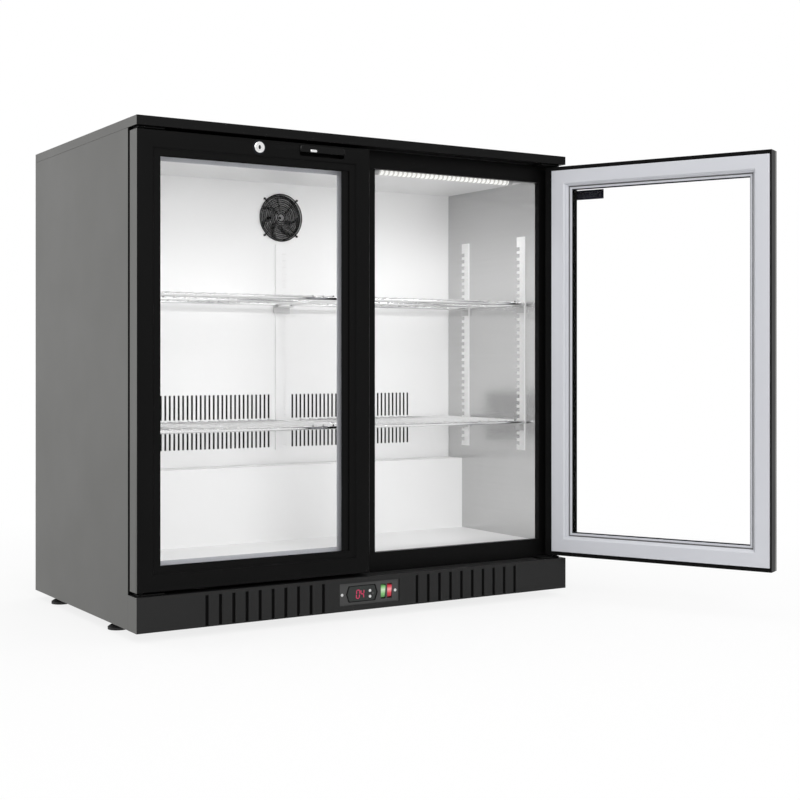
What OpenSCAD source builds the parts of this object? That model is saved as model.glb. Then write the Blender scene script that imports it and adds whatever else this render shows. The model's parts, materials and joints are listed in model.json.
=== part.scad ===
// Two-door undercounter bottle cooler: left glass door shut, right glass door standing open.
// Millimetres, X along the front, Y to the rear, Z up, origin on the floor under the middle of the cabinet.
// Modules draw in the body's own datum: y from the door faces, z from the body's underside.

/* [Cabinet] */
// Width of the cabinet
cab_w = 900; // [860:1:1000]
// Depth from the door faces to the rear panel
cab_d = 520; // [500:1:600]
// Height of the body above its feet
cab_h = 850; // [830:1:920]
// Thickness of the outer steel sheet
sheet = 1.2; // [0.8:0.1:2]
// Thickness of the inner liner sheet
liner_t = 1; // [0.6:0.1:1.5]
// Side wall from its outer face to the liner
side_wall = 37; // [33:1:42]
// Rear wall from its outer face to the liner
rear_wall = 40; // [30:1:50]
// Roof from the worktop to the ceiling
roof_wall = 45; // [40:1:55]
// Inside floor above the underside
floor_h = 92; // [88:1:100]
// Insulation under the inside floor
floor_wall = 32; // [25:1:34]
// Inside step over the machine compartment, above the underside
step_h = 240; // [225:1:255]
// Inside step, forward from the rear panel
step_d = 220; // [210:1:240]
// Insulation between the step and the machine compartment
bulkhead_wall = 30; // [20:1:35]

/* [Worktop and kick plate] */
// Height of the worktop's folded edge
lip_h = 16; // [14:1:24]
// Return fold under the worktop's front edge
lip_return = 30; // [26:1:36]
// Height of the kick plate
kick_h = 59; // [54:1:64]
// Wall of the moulded kick plate
kick_t = 2.5; // [2:0.1:3]
// Air slots on each side of the control panel
slot_count = 10; // [4:1:11]
// Distance from the middle to the first slot
slot_first = 99; // [85:1:120]
// Spacing of the slots
slot_pitch = 25; // [15:1:28]
// Width of a slot
slot_w = 6; // [4:0.5:8]
// Solid strip above the slots
slot_head = 6; // [5:0.5:9]
// Solid strip below the slots
slot_foot = 1.5; // [1.5:0.5:6]

/* [Front frame] */
// Depth of the front frame
frame_t = 12; // [8:1:16]
// Strip of front frame below the ceiling
frame_drop = 4.5; // [2:0.5:8]
// Strip of front frame above the floor
frame_rise = 3; // [1:0.5:6]
// Width of the centre mullion
mullion_w = 64; // [60:1:70]
// Depth of the centre mullion
mullion_d = 30; // [22:1:34]
// Corner radius at the back of the mullion
mullion_r = 8; // [3:1:10]

/* [Doors] */
// Thickness of a door
door_t = 32; // [30:1:36]
// Gap between a shut door and the front frame, which the gasket fills
seal_gap = 6; // [5:0.5:8]
// Door edge inside the cabinet's side
door_side_gap = 1; // [0.5:0.5:3]
// Gap between the two doors
door_centre_gap = 6; // [4:0.5:10]
// Gap between kick plate and door
door_low_gap = 7; // [6:0.5:10]
// Gap between door and worktop
door_top_gap = 6; // [5:0.5:10]
// Open angle of the right door
open_deg = 116; // [60:1:118]
// Width of the raised band of the door frame
rail_w = 30; // [28:1:34]
// Width of the sunk border inside the band
border_w = 11; // [8:1:16]
// Depth of the sunk border behind the band
border_drop = 3; // [2:0.5:4]
// Thickness of the border lip
border_t = 3; // [2:0.5:4]
// Bevel between band and border
band_bevel = 2; // [1:0.5:4]
// Chamfer on the outer edge of the frame
edge_c = 1.2; // [0.5:0.1:2]
// Thickness of one glass pane
pane_t = 4; // [3:0.5:5]
// Air space between the panes
pane_gap = 10; // [8:0.5:11]
// Free edge round the panes
pane_clear = 1; // [0.5:0.5:1.5]
// Width of the spacer bar between the panes
spacer_w = 8; // [6:0.5:9]
// Outer edge of the inner trim, in from the door's edge
trim_s = 22; // [21:0.5:24]
// Inner trim past the border's edge
trim_over = 3; // [1:0.5:6]
// Thickness of the trim's flange
trim_t = 4; // [2:0.5:4]
// Bevel on the trim's inner edge
trim_bevel = 5; // [2:0.5:6]

/* [Gasket] */
// Width of the gasket
gasket_w = 28; // [22:0.5:29]
// Gasket inside the door's edge, on three sides
gasket_in = 6; // [5:0.5:8]
// Air left between gasket and front frame
gasket_air = 0.3; // [0.2:0.1:0.5]
// Width of the dart that holds the gasket
dart_w = 4; // [3:0.5:5]
// Depth of the dart
dart_d = 5; // [3:0.5:5]
// Dart's place in the gasket
dart_in = 3; // [2.5:0.5:4]
// Free space round the dart
dart_clear = 0.3; // [0.2:0.1:0.4]

/* [Pull and lock] */
// Length of the recessed pull
pull_w = 90; // [70:1:120]
// Height of the recess
pull_h = 18; // [16:0.5:19]
// Depth of the recess
pull_d = 18; // [14:0.5:20]
// Recess below the door's top edge
pull_s = 4; // [3.5:0.5:6]
// Middle of the pull, from the door's free edge
pull_in = 98.5; // [80:0.5:120]
// Corner radius of the recess
pull_r = 3; // [2:0.5:5]
// Height of the lip over the recess
lip_cover = 11; // [9:0.5:11.5]
// Radius of the lip's rounded face
lip_r = 8; // [7:0.5:9]
// Thickness of the lip
lip_t = 2.5; // [2:0.5:3]
// How far the lip stands proud of the band
lip_proud = 1.5; // [0.5:0.5:2]
// Lock below the door's top edge
lock_s = 14; // [13.5:0.5:15]
// Radius of the lock's face
lock_face_r = 9.5; // [9:0.5:11]
// Thickness of the lock's face
lock_face_t = 2; // [1:0.5:3]
// Radius of the lock barrel
lock_r = 8; // [7.5:0.5:8.5]
// Length of the lock barrel
lock_len = 18; // [15:0.5:19]
// Radius of the turning plug
plug_r = 5.5; // [4:0.5:6]
// Length of the lock cam from its axis
cam_len = 28; // [26:0.5:29]
// Width of the cam
cam_w = 9; // [7:0.5:10]
// Thickness of the cam
cam_t = 3; // [2:0.5:3.5]

/* [Hinges] */
// Hinge pin in from the door's hinge edge
pin_in = 13; // [12:0.5:15]
// Hinge pin behind the door's face
pin_back = 15; // [14:0.5:17]
// Radius of the hinge pin
pin_r = 4; // [3:0.5:4.5]
// Length of the hinge pin in the door
pin_len = 12; // [8:1:20]
// Thickness of the hinge plate
hinge_t = 3.2; // [2:0.2:4]
// Reach of the hinge plate inwards from its pin
hinge_reach = 40; // [25:1:60]
// Free space round a turning pin or shaft
run_clear = 0.05; // [0.03:0.01:0.09]
// Free space between faces that move past each other
face_clear = 0.3; // [0.2:0.1:0.5]

/* [Inside] */
// Front face of the evaporator cover, forward from the rear liner
cover_d = 130; // [126:1:140]
// Height of the lower shelf above the underside
shelf_low = 325; // [310:1:340]
// Height of the upper shelf above the underside
shelf_high = 561; // [540:1:580]
// Shelf in front of the evaporator cover
shelf_rear_gap = 15; // [12:1:25]
// Shelf behind the mullion
shelf_front_gap = 6; // [5:0.5:12]
// Shelf inside the side liner
shelf_side_gap = 10; // [9:0.5:12]
// Half the gap between the two shelves of a level
shelf_mid_gap = 15; // [13:0.5:18]
// Radius of the shelf's frame rod
shelf_rod = 3; // [2.5:0.5:3.5]
// Radius of a shelf wire
shelf_wire = 1.75; // [1.25:0.25:2.25]
// Wires in a shelf
wire_count = 17; // [8:1:24]
// Wire sunk into the rods by the weld
weld = 0.6; // [0.4:0.1:1]
// Width of a pilaster strip
pilaster_w = 25; // [20:1:28]
// Thickness of a pilaster strip
pilaster_t = 2.5; // [1.5:0.5:3]
// Foot of the pilasters above the underside
pilaster_z = 268; // [262:1:280]
// Top of the pilasters below the ceiling
pilaster_top = 108; // [100:1:130]
// Least gap between the rear pilaster and the fan guard
pilaster_gap = 7; // [4:0.5:30]
// Spacing of the notches down a pilaster's rear edge
pilaster_pitch = 13.5; // [11:0.5:20]
// Depth of a notch
notch_d = 9.5; // [6:0.5:11]
// Height of a notch
notch_h = 7.5; // [5:0.5:8]
// Front pilaster behind the front frame's face
pilaster_front = 55.5; // [50:0.5:70]
// Rear pilaster in front of the evaporator cover
pilaster_rear = 65; // [50:1:90]
// Thickness of a shelf clip
clip_t = 3; // [2:0.5:4]
// Height of a shelf clip's back
clip_h = 14; // [10:1:18]
// Reach of a centre clip
clip_reach = 20; // [16:1:24]
// Length of a light bar
led_len = 318; // [200:1:340]
// Light bar from the middle of the cabinet
led_x = 40; // [36:1:46]
// Depth of a light bar
led_d = 16; // [12:1:20]
// Height of a light bar
led_h = 13; // [11:0.5:16]

/* [Evaporator] */
// Vent slots from the middle of the cover
vent_first = 27; // [22:1:35]
// Spacing of the vent slots
vent_pitch = 9.3; // [8:0.1:12]
// Vent slots in a row, each side
vent_count = 31; // [10:1:32]
// Width of a vent slot
vent_w = 4.2; // [3:0.2:5]
// Lower row of vents above the underside
vent_low_z = 274; // [268:1:280]
// Height of the lower vents
vent_low_h = 34; // [20:1:40]
// Upper row of vents above the underside
vent_high_z = 332; // [326:1:340]
// Height of the upper vents
vent_high_h = 48; // [30:1:60]
// Fan axis below the ceiling
fan_drop = 69; // [62:1:80]
// Radius of the fan's air hole
fan_r = 46; // [40:1:50]
// Width of the fan's square frame
fan_frame_w = 100; // [96:1:108]
// Depth of the fan's frame
fan_frame_d = 26; // [24:1:34]
// Radius of the fan hub
fan_hub_r = 17; // [14:1:20]
// Blades of the fan
fan_blades = 7; // [3:1:9]
// Pitch of the fan blades
blade_deg = 35; // [25:1:45]
// Gap between blade tips and the air hole
tip_gap = 2; // [1.5:0.5:4]
// Radius of a fan shaft
shaft_r = 3; // [2:0.5:4]
// Rings of the fan guard
guard_rings = 6; // [3:1:7]
// Radius of the guard wire
guard_wire = 1.1; // [0.8:0.1:1.4]
// Fins of the evaporator coil
coil_fins = 18; // [6:1:26]
// Width of the evaporator coil
coil_w = 600; // [500:1:640]
// Depth of the evaporator coil
coil_d = 70; // [60:1:76]
// Rows of tubes in a coil
coil_rows = 5; // [3:1:7]
// Spacing of the tube rows
coil_pitch = 26; // [22:1:30]
// Radius of the coil tubes
tube_r = 5; // [3.5:0.5:6]
// Thickness of a fin
fin_t = 0.8; // [0.6:0.1:1.2]
// Foot of the evaporator coil above the drain tray
coil_lift = 180; // [150:1:200]
// Height of the drain tray
tray_h = 20; // [14:1:26]
// Wall of the drain and condensate trays
tray_t = 1.5; // [1:0.5:2.5]
// Radius of the drain spout
spout_r = 8; // [6:0.5:10]

/* [Machine compartment] */
// Radius of the compressor shell
comp_r = 66; // [55:1:70]
// Height of the compressor above its feet
comp_h = 150; // [130:1:165]
// Compressor from the middle of the cabinet
comp_x = 250; // [220:1:300]
// Width of the condenser
cond_w = 280; // [220:1:300]
// Height of the condenser
cond_h = 160; // [150:1:180]
// Depth of the condenser
cond_d = 48; // [40:1:54]
// Middle of the condenser from the middle of the cabinet
cond_x = 200; // [170:1:240]
// Radius of the condenser fan's air hole
cond_fan_r = 72; // [60:1:74]
// Depth of the condenser fan's ring
cond_fan_d = 36; // [30:1:44]
// Radius of the refrigerant tubes
line_r = 4; // [3:0.5:5]
// Louvre columns in the rear grille
grille_cols = 5; // [2:1:6]
// Louvre rows in the rear grille
grille_rows = 9; // [4:1:10]
// Height of a louvre slot
grille_slot_h = 7; // [5:0.5:9]
// Spacing of the louvre rows
grille_pitch = 18; // [14:1:19]
// Length of a louvre slot
grille_slot_w = 120; // [80:1:126]
// Spacing of the louvre columns
grille_col_pitch = 140; // [132:1:150]
// Radius of the cable hole in its gland
gland_bore_r = 4.5; // [3:0.5:6]
// Radius of the cable gland's body
gland_r = 10; // [8:0.5:12]
// Gland in from the cabinet's side
gland_in = 60; // [40:1:70]

/* [Feet] */
// Height of the body above the floor
foot_h = 15; // [12:1:30]
// Radius of a foot's pad
foot_r = 18; // [14:0.5:20]
// Foot in from the cabinet's side
foot_in = 22; // [21:1:40]
// Front feet behind the door faces
foot_front = 138; // [90:1:160]
// Rear feet in front of the rear panel
foot_rear = 86; // [60:1:110]
// Radius of a foot's stud
stud_r = 5; // [4:0.5:6]
// Length of a foot's stud above the underside
stud_len = 14; // [10:1:20]

/* [Controls] */
// Middle of the control panel, along the front
bezel_x = -2.5; // [-8:0.5:8]
// Width of the control panel
bezel_w = 126; // [122:1:140]
// Height of the control panel
bezel_h = 40; // [38:0.5:42]
// Thickness of the control panel
bezel_t = 2.5; // [2:0.1:3]
// Overlap of the control panel behind the kick plate
bezel_lap = 3; // [2:0.5:4]
// Thermostat from the middle of the panel
stat_x = -15.5; // [-18:0.5:-14]
// Width of the thermostat's face
stat_w = 66; // [60:1:70]
// Height of the thermostat's face
stat_h = 29; // [27:0.5:32]
// Point at each side of the thermostat's face
stat_point = 5; // [3:0.5:8]
// Depth of the thermostat behind its face
stat_d = 36; // [25:1:50]
// Radius of a thermostat key
key_r = 2.5; // [2:0.25:2.75]
// Travel of a key
key_travel = 1; // [0.5:0.1:1.2]
// Keys from the middle of the thermostat
key_x = 16.5; // [14:0.5:18]
// Spacing of the keys, up and down
key_gap = 5.2; // [4.8:0.1:6]
// Third key beside the other two
key_out = 5.8; // [5:0.1:6.5]
// Keys below the middle of the panel
key_drop = 1.5; // [0:0.25:2.5]
// First rocker from the middle of the panel
rocker_x = 29.5; // [28:0.5:33]
// Spacing of the rockers
rocker_gap = 13.5; // [13:0.5:16]
// Width of a rocker
rocker_w = 9.5; // [8.5:0.5:11]
// Height of a rocker
rocker_h = 22.5; // [20:0.5:27]
// Depth of a rocker
rocker_d = 9; // [8:0.5:11]
// Tilt of a rocker to either side
rocker_deg = 8; // [4:1:10]

/* [Hidden] */
$fn = 48;
left = -1;
right = 1;

half_w = cab_w / 2;
frame_y = door_t + seal_gap;
frame_back = frame_y + frame_t;
mullion_back = frame_y + mullion_d;
in_x = half_w - side_wall;
shell_x = half_w - sheet;
rear_in = cab_d - rear_wall;
rear_sheet = cab_d - sheet;
ceil_z = cab_h - roof_wall;
side_top = cab_h - lip_h;
under_z = floor_h - floor_wall;
step_y = cab_d - step_d;
engine_y = step_y + bulkhead_wall;
engine_z = step_h - bulkhead_wall;
open_low = floor_h + frame_rise;
open_high = ceil_z - frame_drop;
cover_y = rear_in - cover_d;
past = 1;

door_w = half_w - door_side_gap - door_centre_gap / 2;
door_z = kick_h + door_low_gap;
door_h = side_top - door_top_gap - door_z;
pin_x = half_w - door_side_gap - pin_in;
opening_s = rail_w + border_w;
pane_y = border_drop + border_t;
unit_back = pane_y + 2 * pane_t + pane_gap;
trim_in = opening_s + trim_over;
trim_y = door_t - trim_t;
gasket_top = door_t + seal_gap - gasket_air;

fan_z = ceil_z - fan_drop;
fan_y = cover_y + sheet;
shelf_x0 = shelf_mid_gap;
shelf_x1 = in_x - shelf_side_gap;
shelf_y0 = mullion_back + shelf_front_gap;
shelf_y1 = cover_y - shelf_rear_gap;
wire_z = shelf_rod + shelf_wire - weld;
rotor_d = fan_frame_d / 2;
guard_reach = fan_r + 2 * guard_wire;
pilaster_len = ceil_z - pilaster_top - pilaster_z;
rear_pilaster = min(pilaster_len, fan_z - guard_reach - pilaster_gap - pilaster_z);
coil_z = step_h + tray_h + coil_lift;
coil_h = coil_rows * coil_pitch;
coil_y = (fan_y + fan_frame_d + rear_in) / 2;
cond_y = engine_y + sheet + cond_d / 2 + bulkhead_wall / 3;
cond_z = sheet + cond_h / 2;
comp_y = (engine_y + rear_sheet) / 2;
riser_x = coil_w / 4;
riser_y = rear_in - 4 * line_r;
spout_y = (cover_y + rear_in) / 2;
spout_hole = spout_r + face_clear;
line_hole = line_r + face_clear;
panel_z = kick_h / 2;
panel_y = kick_t + bezel_t;
rocker_hole_w = rocker_w + 2 * face_clear;
well_w = rocker_gap - face_clear;

// Everything is drawn from the door faces and the body's underside, then set on the origin
module seat() translate([0, -cab_d / 2, foot_h]) children();

module block(x, y, z) translate([x[0], y[0], z[0]]) cube([x[1] - x[0], y[1] - y[0], z[1] - z[0]]);

// A flat outline in x and z, given its thickness along y
module slab_y(y0, t) translate([0, y0 + t, 0]) rotate([90, 0, 0]) linear_extrude(t) children();

// An outline in y and z, carried along x
module bar_x(x0, len) translate([x0, 0, 0]) rotate([90, 0, 90]) linear_extrude(len) children();

module rod_x(r, x, y, z) translate([x[0], y, z]) rotate([0, 90, 0]) cylinder(r = r, h = x[1] - x[0]);
module rod_y(r, x, y, z) translate([x, y[1], z]) rotate([90, 0, 0]) cylinder(r = r, h = y[1] - y[0]);
module rod_z(r, x, y, z) translate([x, y, z[0]]) cylinder(r = r, h = z[1] - z[0]);

module round_rect(w, h, r) {
    square([w - 2 * r, h], center = true);
    square([w, h - 2 * r], center = true);
    for (x = [-1, 1], y = [-1, 1]) translate([x * (w / 2 - r), y * (h / 2 - r)]) circle(r);
}

// A tube through a list of points, with a brazed knee at each bend
module pipe(points, r) {
    for (i = [0 : len(points) - 2]) {
        run = points[i + 1] - points[i];
        translate(points[i])
            rotate([0, acos(run[2] / norm(run)), atan2(run[1], run[0])])
                cylinder(r = r, h = norm(run));
    }
    for (i = [1 : len(points) - 2]) translate(points[i]) sphere(1.2 * r);
}

// A profile of [distance in from the edge, depth] carried round a rectangle, with mitred corners
module rail(len, profile, reach) {
    depth = 4 * door_t;
    intersection() {
        bar_x(0, len) polygon([for (p = profile) [p[1], p[0]]]);
        slab_y(-depth, 2 * depth) polygon([[0, 0], [len, 0], [len - reach, reach], [reach, reach]]);
    }
}

module mitred_ring(w, h, profile, reach) {
    rail(w, profile, reach);
    translate([0, 0, h]) mirror([0, 0, 1]) rail(w, profile, reach);
    mirror([1, 0, -1]) rail(h, profile, reach);
    translate([w, 0, 0]) mirror([1, 0, 0]) mirror([1, 0, -1]) rail(h, profile, reach);
}

// Cabinet shell
module side_panel(side) {
    flange = 10 * sheet;
    mirror([side > 0 ? 1 : 0, 0, 0])
        linear_extrude(side_top)
            polygon([
                [-half_w, frame_y], [-shell_x, frame_y], [-shell_x, rear_sheet - sheet],
                [flange - half_w, rear_sheet - sheet], [flange - half_w, rear_sheet], [-half_w, rear_sheet]
            ]);
}
module side_panel_left() color("dimgray") seat() side_panel(left);
module side_panel_right() color("dimgray") seat() side_panel(right);

module keeper_slot(side) mirror([side > 0 ? 1 : 0, 0, 0]) {
    lock_x = half_w - door_side_gap - door_w / 2;
    slot_y = [lock_len - face_clear, lock_len + cam_t + 4 * face_clear];
    block([-lock_x - cam_w, cam_len - lock_x], slot_y, [side_top - past, side_top + sheet + past]);
}
module worktop() color([0.12, 0.12, 0.12]) seat() difference() {
    block([-half_w, half_w], [0, cab_d], [side_top, cab_h]);
    block([-shell_x, shell_x], [lip_return, rear_sheet], [side_top - past, cab_h - sheet]);
    block([-shell_x, shell_x], [sheet, rear_sheet], [side_top + sheet, cab_h - sheet]);
    keeper_slot(left);
    keeper_slot(right);
}

module rear_panel() color("dimgray") seat()
    block([-half_w, half_w], [rear_sheet, cab_d], [engine_z, side_top]);

module foot_places() for (x = [left, right], y = [foot_front, cab_d - foot_rear])
    translate([x * (half_w - foot_in), y, 0]) children();

module base_pan() color("silver") seat() difference() {
    union() {
        block([-shell_x, shell_x], [frame_y, rear_sheet - sheet], [0, sheet]);
        for (x = [-shell_x, shell_x - sheet])
            block([x, x + sheet], [frame_y, rear_sheet - sheet], [0, under_z / 2]);
        foot_places() cylinder(r = 2 * stud_r, h = stud_len - sheet);
    }
    foot_places() translate([0, 0, -past]) cylinder(r = stud_r + run_clear, h = stud_len + 2 * past);
}

// Holes that the risers and the drain spout pass through
module through_holes(z) {
    rod_z(line_hole, -riser_x, riser_y, z);
    rod_z(line_hole, riser_x, riser_y, z);
    rod_z(spout_hole, 0, spout_y, z);
}

module bulkhead() color("silver") seat() difference() {
    bar_x(-shell_x, 2 * shell_x) polygon([
        [frame_back, under_z - sheet], [engine_y + sheet, under_z - sheet],
        [engine_y + sheet, engine_z - sheet], [rear_sheet - sheet, engine_z - sheet],
        [rear_sheet - sheet, engine_z], [engine_y, engine_z], [engine_y, under_z], [frame_back, under_z]
    ]);
    through_holes([engine_z - 2 * sheet, engine_z + sheet]);
}

module insulation() color([0.93, 0.87, 0.68]) seat() difference() {
    side_t = shell_x - in_x - liner_t;
    top_z = cab_h - sheet;
    back_y = rear_sheet - sheet;
    union() {
        for (x = [-shell_x, in_x + liner_t]) bar_x(x, side_t) polygon([
            [frame_back, under_z], [engine_y, under_z], [engine_y, engine_z], [back_y, engine_z],
            [back_y, top_z], [frame_back, top_z]
        ]);
        bar_x(-in_x - liner_t, 2 * (in_x + liner_t)) polygon([
            [frame_back, under_z], [engine_y, under_z], [engine_y, engine_z], [back_y, engine_z],
            [back_y, top_z], [frame_back, top_z], [frame_back, ceil_z + liner_t],
            [rear_in + liner_t, ceil_z + liner_t], [rear_in + liner_t, step_h - liner_t],
            [step_y + liner_t, step_h - liner_t], [step_y + liner_t, floor_h - liner_t],
            [frame_back, floor_h - liner_t]
        ]);
    }
    through_holes([engine_z - past, step_h + past]);
}

module liner_side(side) bar_x(side < 0 ? -in_x - liner_t : in_x, liner_t) polygon([
    [frame_back, floor_h - liner_t], [step_y + liner_t, floor_h - liner_t],
    [step_y + liner_t, step_h - liner_t], [rear_in + liner_t, step_h - liner_t],
    [rear_in + liner_t, ceil_z + liner_t], [frame_back, ceil_z + liner_t]
]);
module liner_left() color("gainsboro") seat() liner_side(left);
module liner_right() color("gainsboro") seat() liner_side(right);

module liner_wrap() color("whitesmoke") seat() difference() {
    bar_x(-in_x, 2 * in_x) polygon([
        [frame_back, floor_h - liner_t], [step_y + liner_t, floor_h - liner_t],
        [step_y + liner_t, step_h - liner_t], [rear_in + liner_t, step_h - liner_t],
        [rear_in + liner_t, ceil_z + liner_t], [frame_back, ceil_z + liner_t], [frame_back, ceil_z],
        [rear_in, ceil_z], [rear_in, step_h], [step_y, step_h], [step_y, floor_h], [frame_back, floor_h]
    ]);
    through_holes([step_h - 2 * liner_t, step_h + liner_t]);
}

module front_frame() color([0.08, 0.08, 0.08]) seat() slab_y(frame_y, frame_t) difference() {
    translate([-shell_x, kick_h]) square([2 * shell_x, side_top - kick_h]);
    translate([-in_x, open_low]) square([2 * in_x, open_high - open_low]);
}

module centre_mullion() color([0.08, 0.08, 0.08]) seat()
    translate([0, frame_y, open_low]) linear_extrude(open_high - open_low) {
        for (x = [left, right]) translate([x * (mullion_w / 2 - mullion_r), mullion_d - mullion_r])
            circle(mullion_r);
        translate([-mullion_w / 2, 0]) square([mullion_w, mullion_d - mullion_r]);
        translate([mullion_r - mullion_w / 2, 0]) square([mullion_w - 2 * mullion_r, mullion_d]);
    }

module kick_plate() color([0.15, 0.15, 0.15]) seat() difference() {
    block([-half_w, half_w], [0, frame_y], [0, kick_h]);
    block([kick_t - half_w, half_w - kick_t], [kick_t, frame_y + past], [-past, kick_h - kick_t]);
    for (side = [left, right], i = [0 : slot_count - 1])
        translate([side * (slot_first + i * slot_pitch) - slot_w / 2, -past, slot_foot])
            cube([slot_w, kick_t + 2 * past, kick_h - slot_head - slot_foot]);
    translate([bezel_x, 0, panel_z]) slab_y(-past, kick_t + 2 * past) square([bezel_w, bezel_h], center = true);
}

module hinge_plates() color("dimgray") seat() for (side = [left, right]) mirror([side > 0 ? 1 : 0, 0, 0]) {
    x = [-half_w + door_side_gap, hinge_reach - pin_x];
    y = [pin_back - 2 * pin_r, frame_y - face_clear];
    block(x, [y[0], y[1] - pin_r], [side_top - hinge_t, side_top]);
    rod_z(pin_r, -pin_x, pin_back, [door_z + door_h - pin_len, side_top - hinge_t / 2]);
    block(x, y, [kick_h, kick_h + hinge_t]);
    rod_z(pin_r, -pin_x, pin_back, [kick_h + hinge_t / 2, door_z + pin_len]);
}

module gland_place() translate([gland_in - half_w, rear_sheet, engine_z / 4]) rotate([-90, 0, 0]) children();

module rear_grille() color("dimgray") seat() difference() {
    slab_y(rear_sheet, sheet) difference() {
        translate([-half_w, 0]) square([cab_w, engine_z]);
        for (c = [0 : grille_cols - 1], r = [0 : grille_rows - 1])
            translate([
                (c - (grille_cols - 1) / 2) * grille_col_pitch,
                engine_z / 2 + (r - (grille_rows - 1) / 2) * grille_pitch
            ]) round_rect(grille_slot_w, grille_slot_h, grille_slot_h / 3);
    }
    gland_place() translate([0, 0, -past]) cylinder(r = gland_r, h = sheet + 2 * past);
}

module cable_gland() color([0.1, 0.1, 0.1]) seat() gland_place() difference() {
    flange_r = gland_r * 1.4;
    union() {
        translate([0, 0, -gland_r]) cylinder(r = gland_r, h = gland_r + sheet);
        translate([0, 0, -2 * sheet]) cylinder(r = flange_r, h = 2 * sheet, $fn = 6);
        translate([0, 0, sheet]) cylinder(r1 = flange_r, r2 = gland_bore_r * 1.6, h = gland_r);
    }
    translate([0, 0, -2 * gland_r]) cylinder(r = gland_bore_r, h = 4 * gland_r);
}

// Controls in the kick plate
module at_panel(x, z = 0) translate([bezel_x + x, 0, panel_z + z]) children();

module stat_outline(grow = 0) polygon([
    for (side = [-1, 1], z = [-1, 0, 1])
        [side * (stat_w / 2 + grow - (z == 0 ? 0 : stat_point)), side * z * (stat_h / 2 + grow)]
]);

module rocker_shape() {
    slab_y(-rocker_d / 3, rocker_d) square([rocker_w, rocker_h], center = true);
    trunnion = (rocker_hole_w + well_w) / 4;
    rod_x(shaft_r / 2, [-trunnion, trunnion], rocker_d / 6, 0);
}
module rocker_well() {
    hole_h = rocker_h + rocker_d / 2;
    difference() {
        slab_y(panel_y, rocker_d * 1.2) square([well_w, hole_h + 2 * past], center = true);
        slab_y(panel_y - past, rocker_d * 1.2 - past) square([rocker_hole_w, hole_h], center = true);
        rod_x(shaft_r / 2 + run_clear, [-well_w, well_w], panel_y + rocker_d / 6, 0);
    }
}
module rocker_places() for (i = [0, 1]) at_panel(rocker_x + i * rocker_gap) children();

module control_bezel() color("dimgray") seat() {
    difference() {
        at_panel(0) slab_y(kick_t, bezel_t) square([bezel_w + 2 * bezel_lap, bezel_h + 2 * bezel_lap], center = true);
        at_panel(stat_x) slab_y(0, panel_y + past) stat_outline();
        rocker_places() slab_y(0, panel_y + past) square([rocker_hole_w, rocker_h + rocker_d / 2], center = true);
    }
    rocker_places() rocker_well();
}

key_places = [[0, key_gap - key_drop], [key_out, -key_drop], [0, -key_gap - key_drop]];
module key_place(i) at_panel(stat_x + key_x + key_places[i][0], key_places[i][1]) children();

module thermostat() color([0.06, 0.06, 0.06]) seat() difference() {
    union() {
        at_panel(stat_x) slab_y(kick_t, bezel_t) stat_outline();
        at_panel(stat_x) slab_y(panel_y, stat_d) square([stat_w - 2 * stat_point, stat_h - 2 * past], center = true);
    }
    for (i = [0 : 2]) key_place(i) rod_y(key_r + run_clear, 0, [0, panel_y + 3 * key_travel], 0);
}

module key(i) key_place(i) {
    rod_y(key_r, 0, [kick_t - key_travel, panel_y + key_travel], 0);
}
module key_up() color("whitesmoke") seat() key(0);
module key_set() color("whitesmoke") seat() key(1);
module key_down() color("whitesmoke") seat() key(2);

module rocker(i) at_panel(rocker_x + i * rocker_gap)
    translate([0, panel_y + rocker_d / 6, 0]) rotate([rocker_deg, 0, 0])
        translate([0, -rocker_d / 6, 0]) rocker_shape();
module light_rocker() color("limegreen") seat() rocker(0);
module power_rocker() color("red") seat() rocker(1);

// Cold side
module evaporator_cover() color("whitesmoke") seat() {
    x = in_x - face_clear;
    foot_z = step_h + face_clear;
    slab_y(cover_y, sheet) difference() {
        translate([-x, foot_z]) square([2 * x, ceil_z - foot_z]);
        translate([0, fan_z]) circle(fan_r);
        for (side = [left, right], i = [0 : vent_count - 1])
            for (row = [[vent_low_z, vent_low_h], [vent_high_z, vent_high_h]])
                translate([side * (vent_first + i * vent_pitch) - vent_w / 2, row[0]]) square([vent_w, row[1]]);
    }
    for (z = [foot_z, ceil_z - sheet]) block([-x, x], [cover_y, cover_y + 8 * sheet], [z, z + sheet]);
}

// Two columns of tubes along x through a stack of fins, joined by return bends at their ends
module finned_coil(w, d, rows, pitch, fins, end_d) {
    h = rows * pitch;
    last = rows % 2 == 0 ? -1 : 1;
    translate([last * w / 2, 0, h - pitch / 2]) rotate([0, 0, -90 * last]) rotate_extrude(angle = 180)
        translate([d / 4, 0]) circle(tube_r);
    for (y = [-d / 4, d / 4], i = [0 : rows - 1]) {
        z = (i + 0.5) * pitch;
        rod_x(tube_r, [-w / 2, w / 2], y, z);
        if (i < rows - 1) translate([(i % 2 == 0 ? 1 : -1) * w / 2, y, z + pitch / 2])
            rotate([90, i % 2 == 0 ? 0 : 180, 0]) rotate([0, 0, -90]) rotate_extrude(angle = 180)
                translate([pitch / 2, 0]) circle(tube_r);
    }
    for (i = [0 : fins - 1]) {
        x = (i / (fins - 1) - 0.5) * (w - pitch);
        ends = i == 0 || i == fins - 1;
        translate([x - fin_t / 2, -d / 2, 0]) cube([fin_t, ends ? end_d + d / 2 : d, h]);
    }
}

module evaporator_coil() color("silver") seat()
    translate([0, coil_y, coil_z]) finned_coil(coil_w, coil_d, coil_rows, coil_pitch, coil_fins, rear_in - coil_y);

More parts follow.
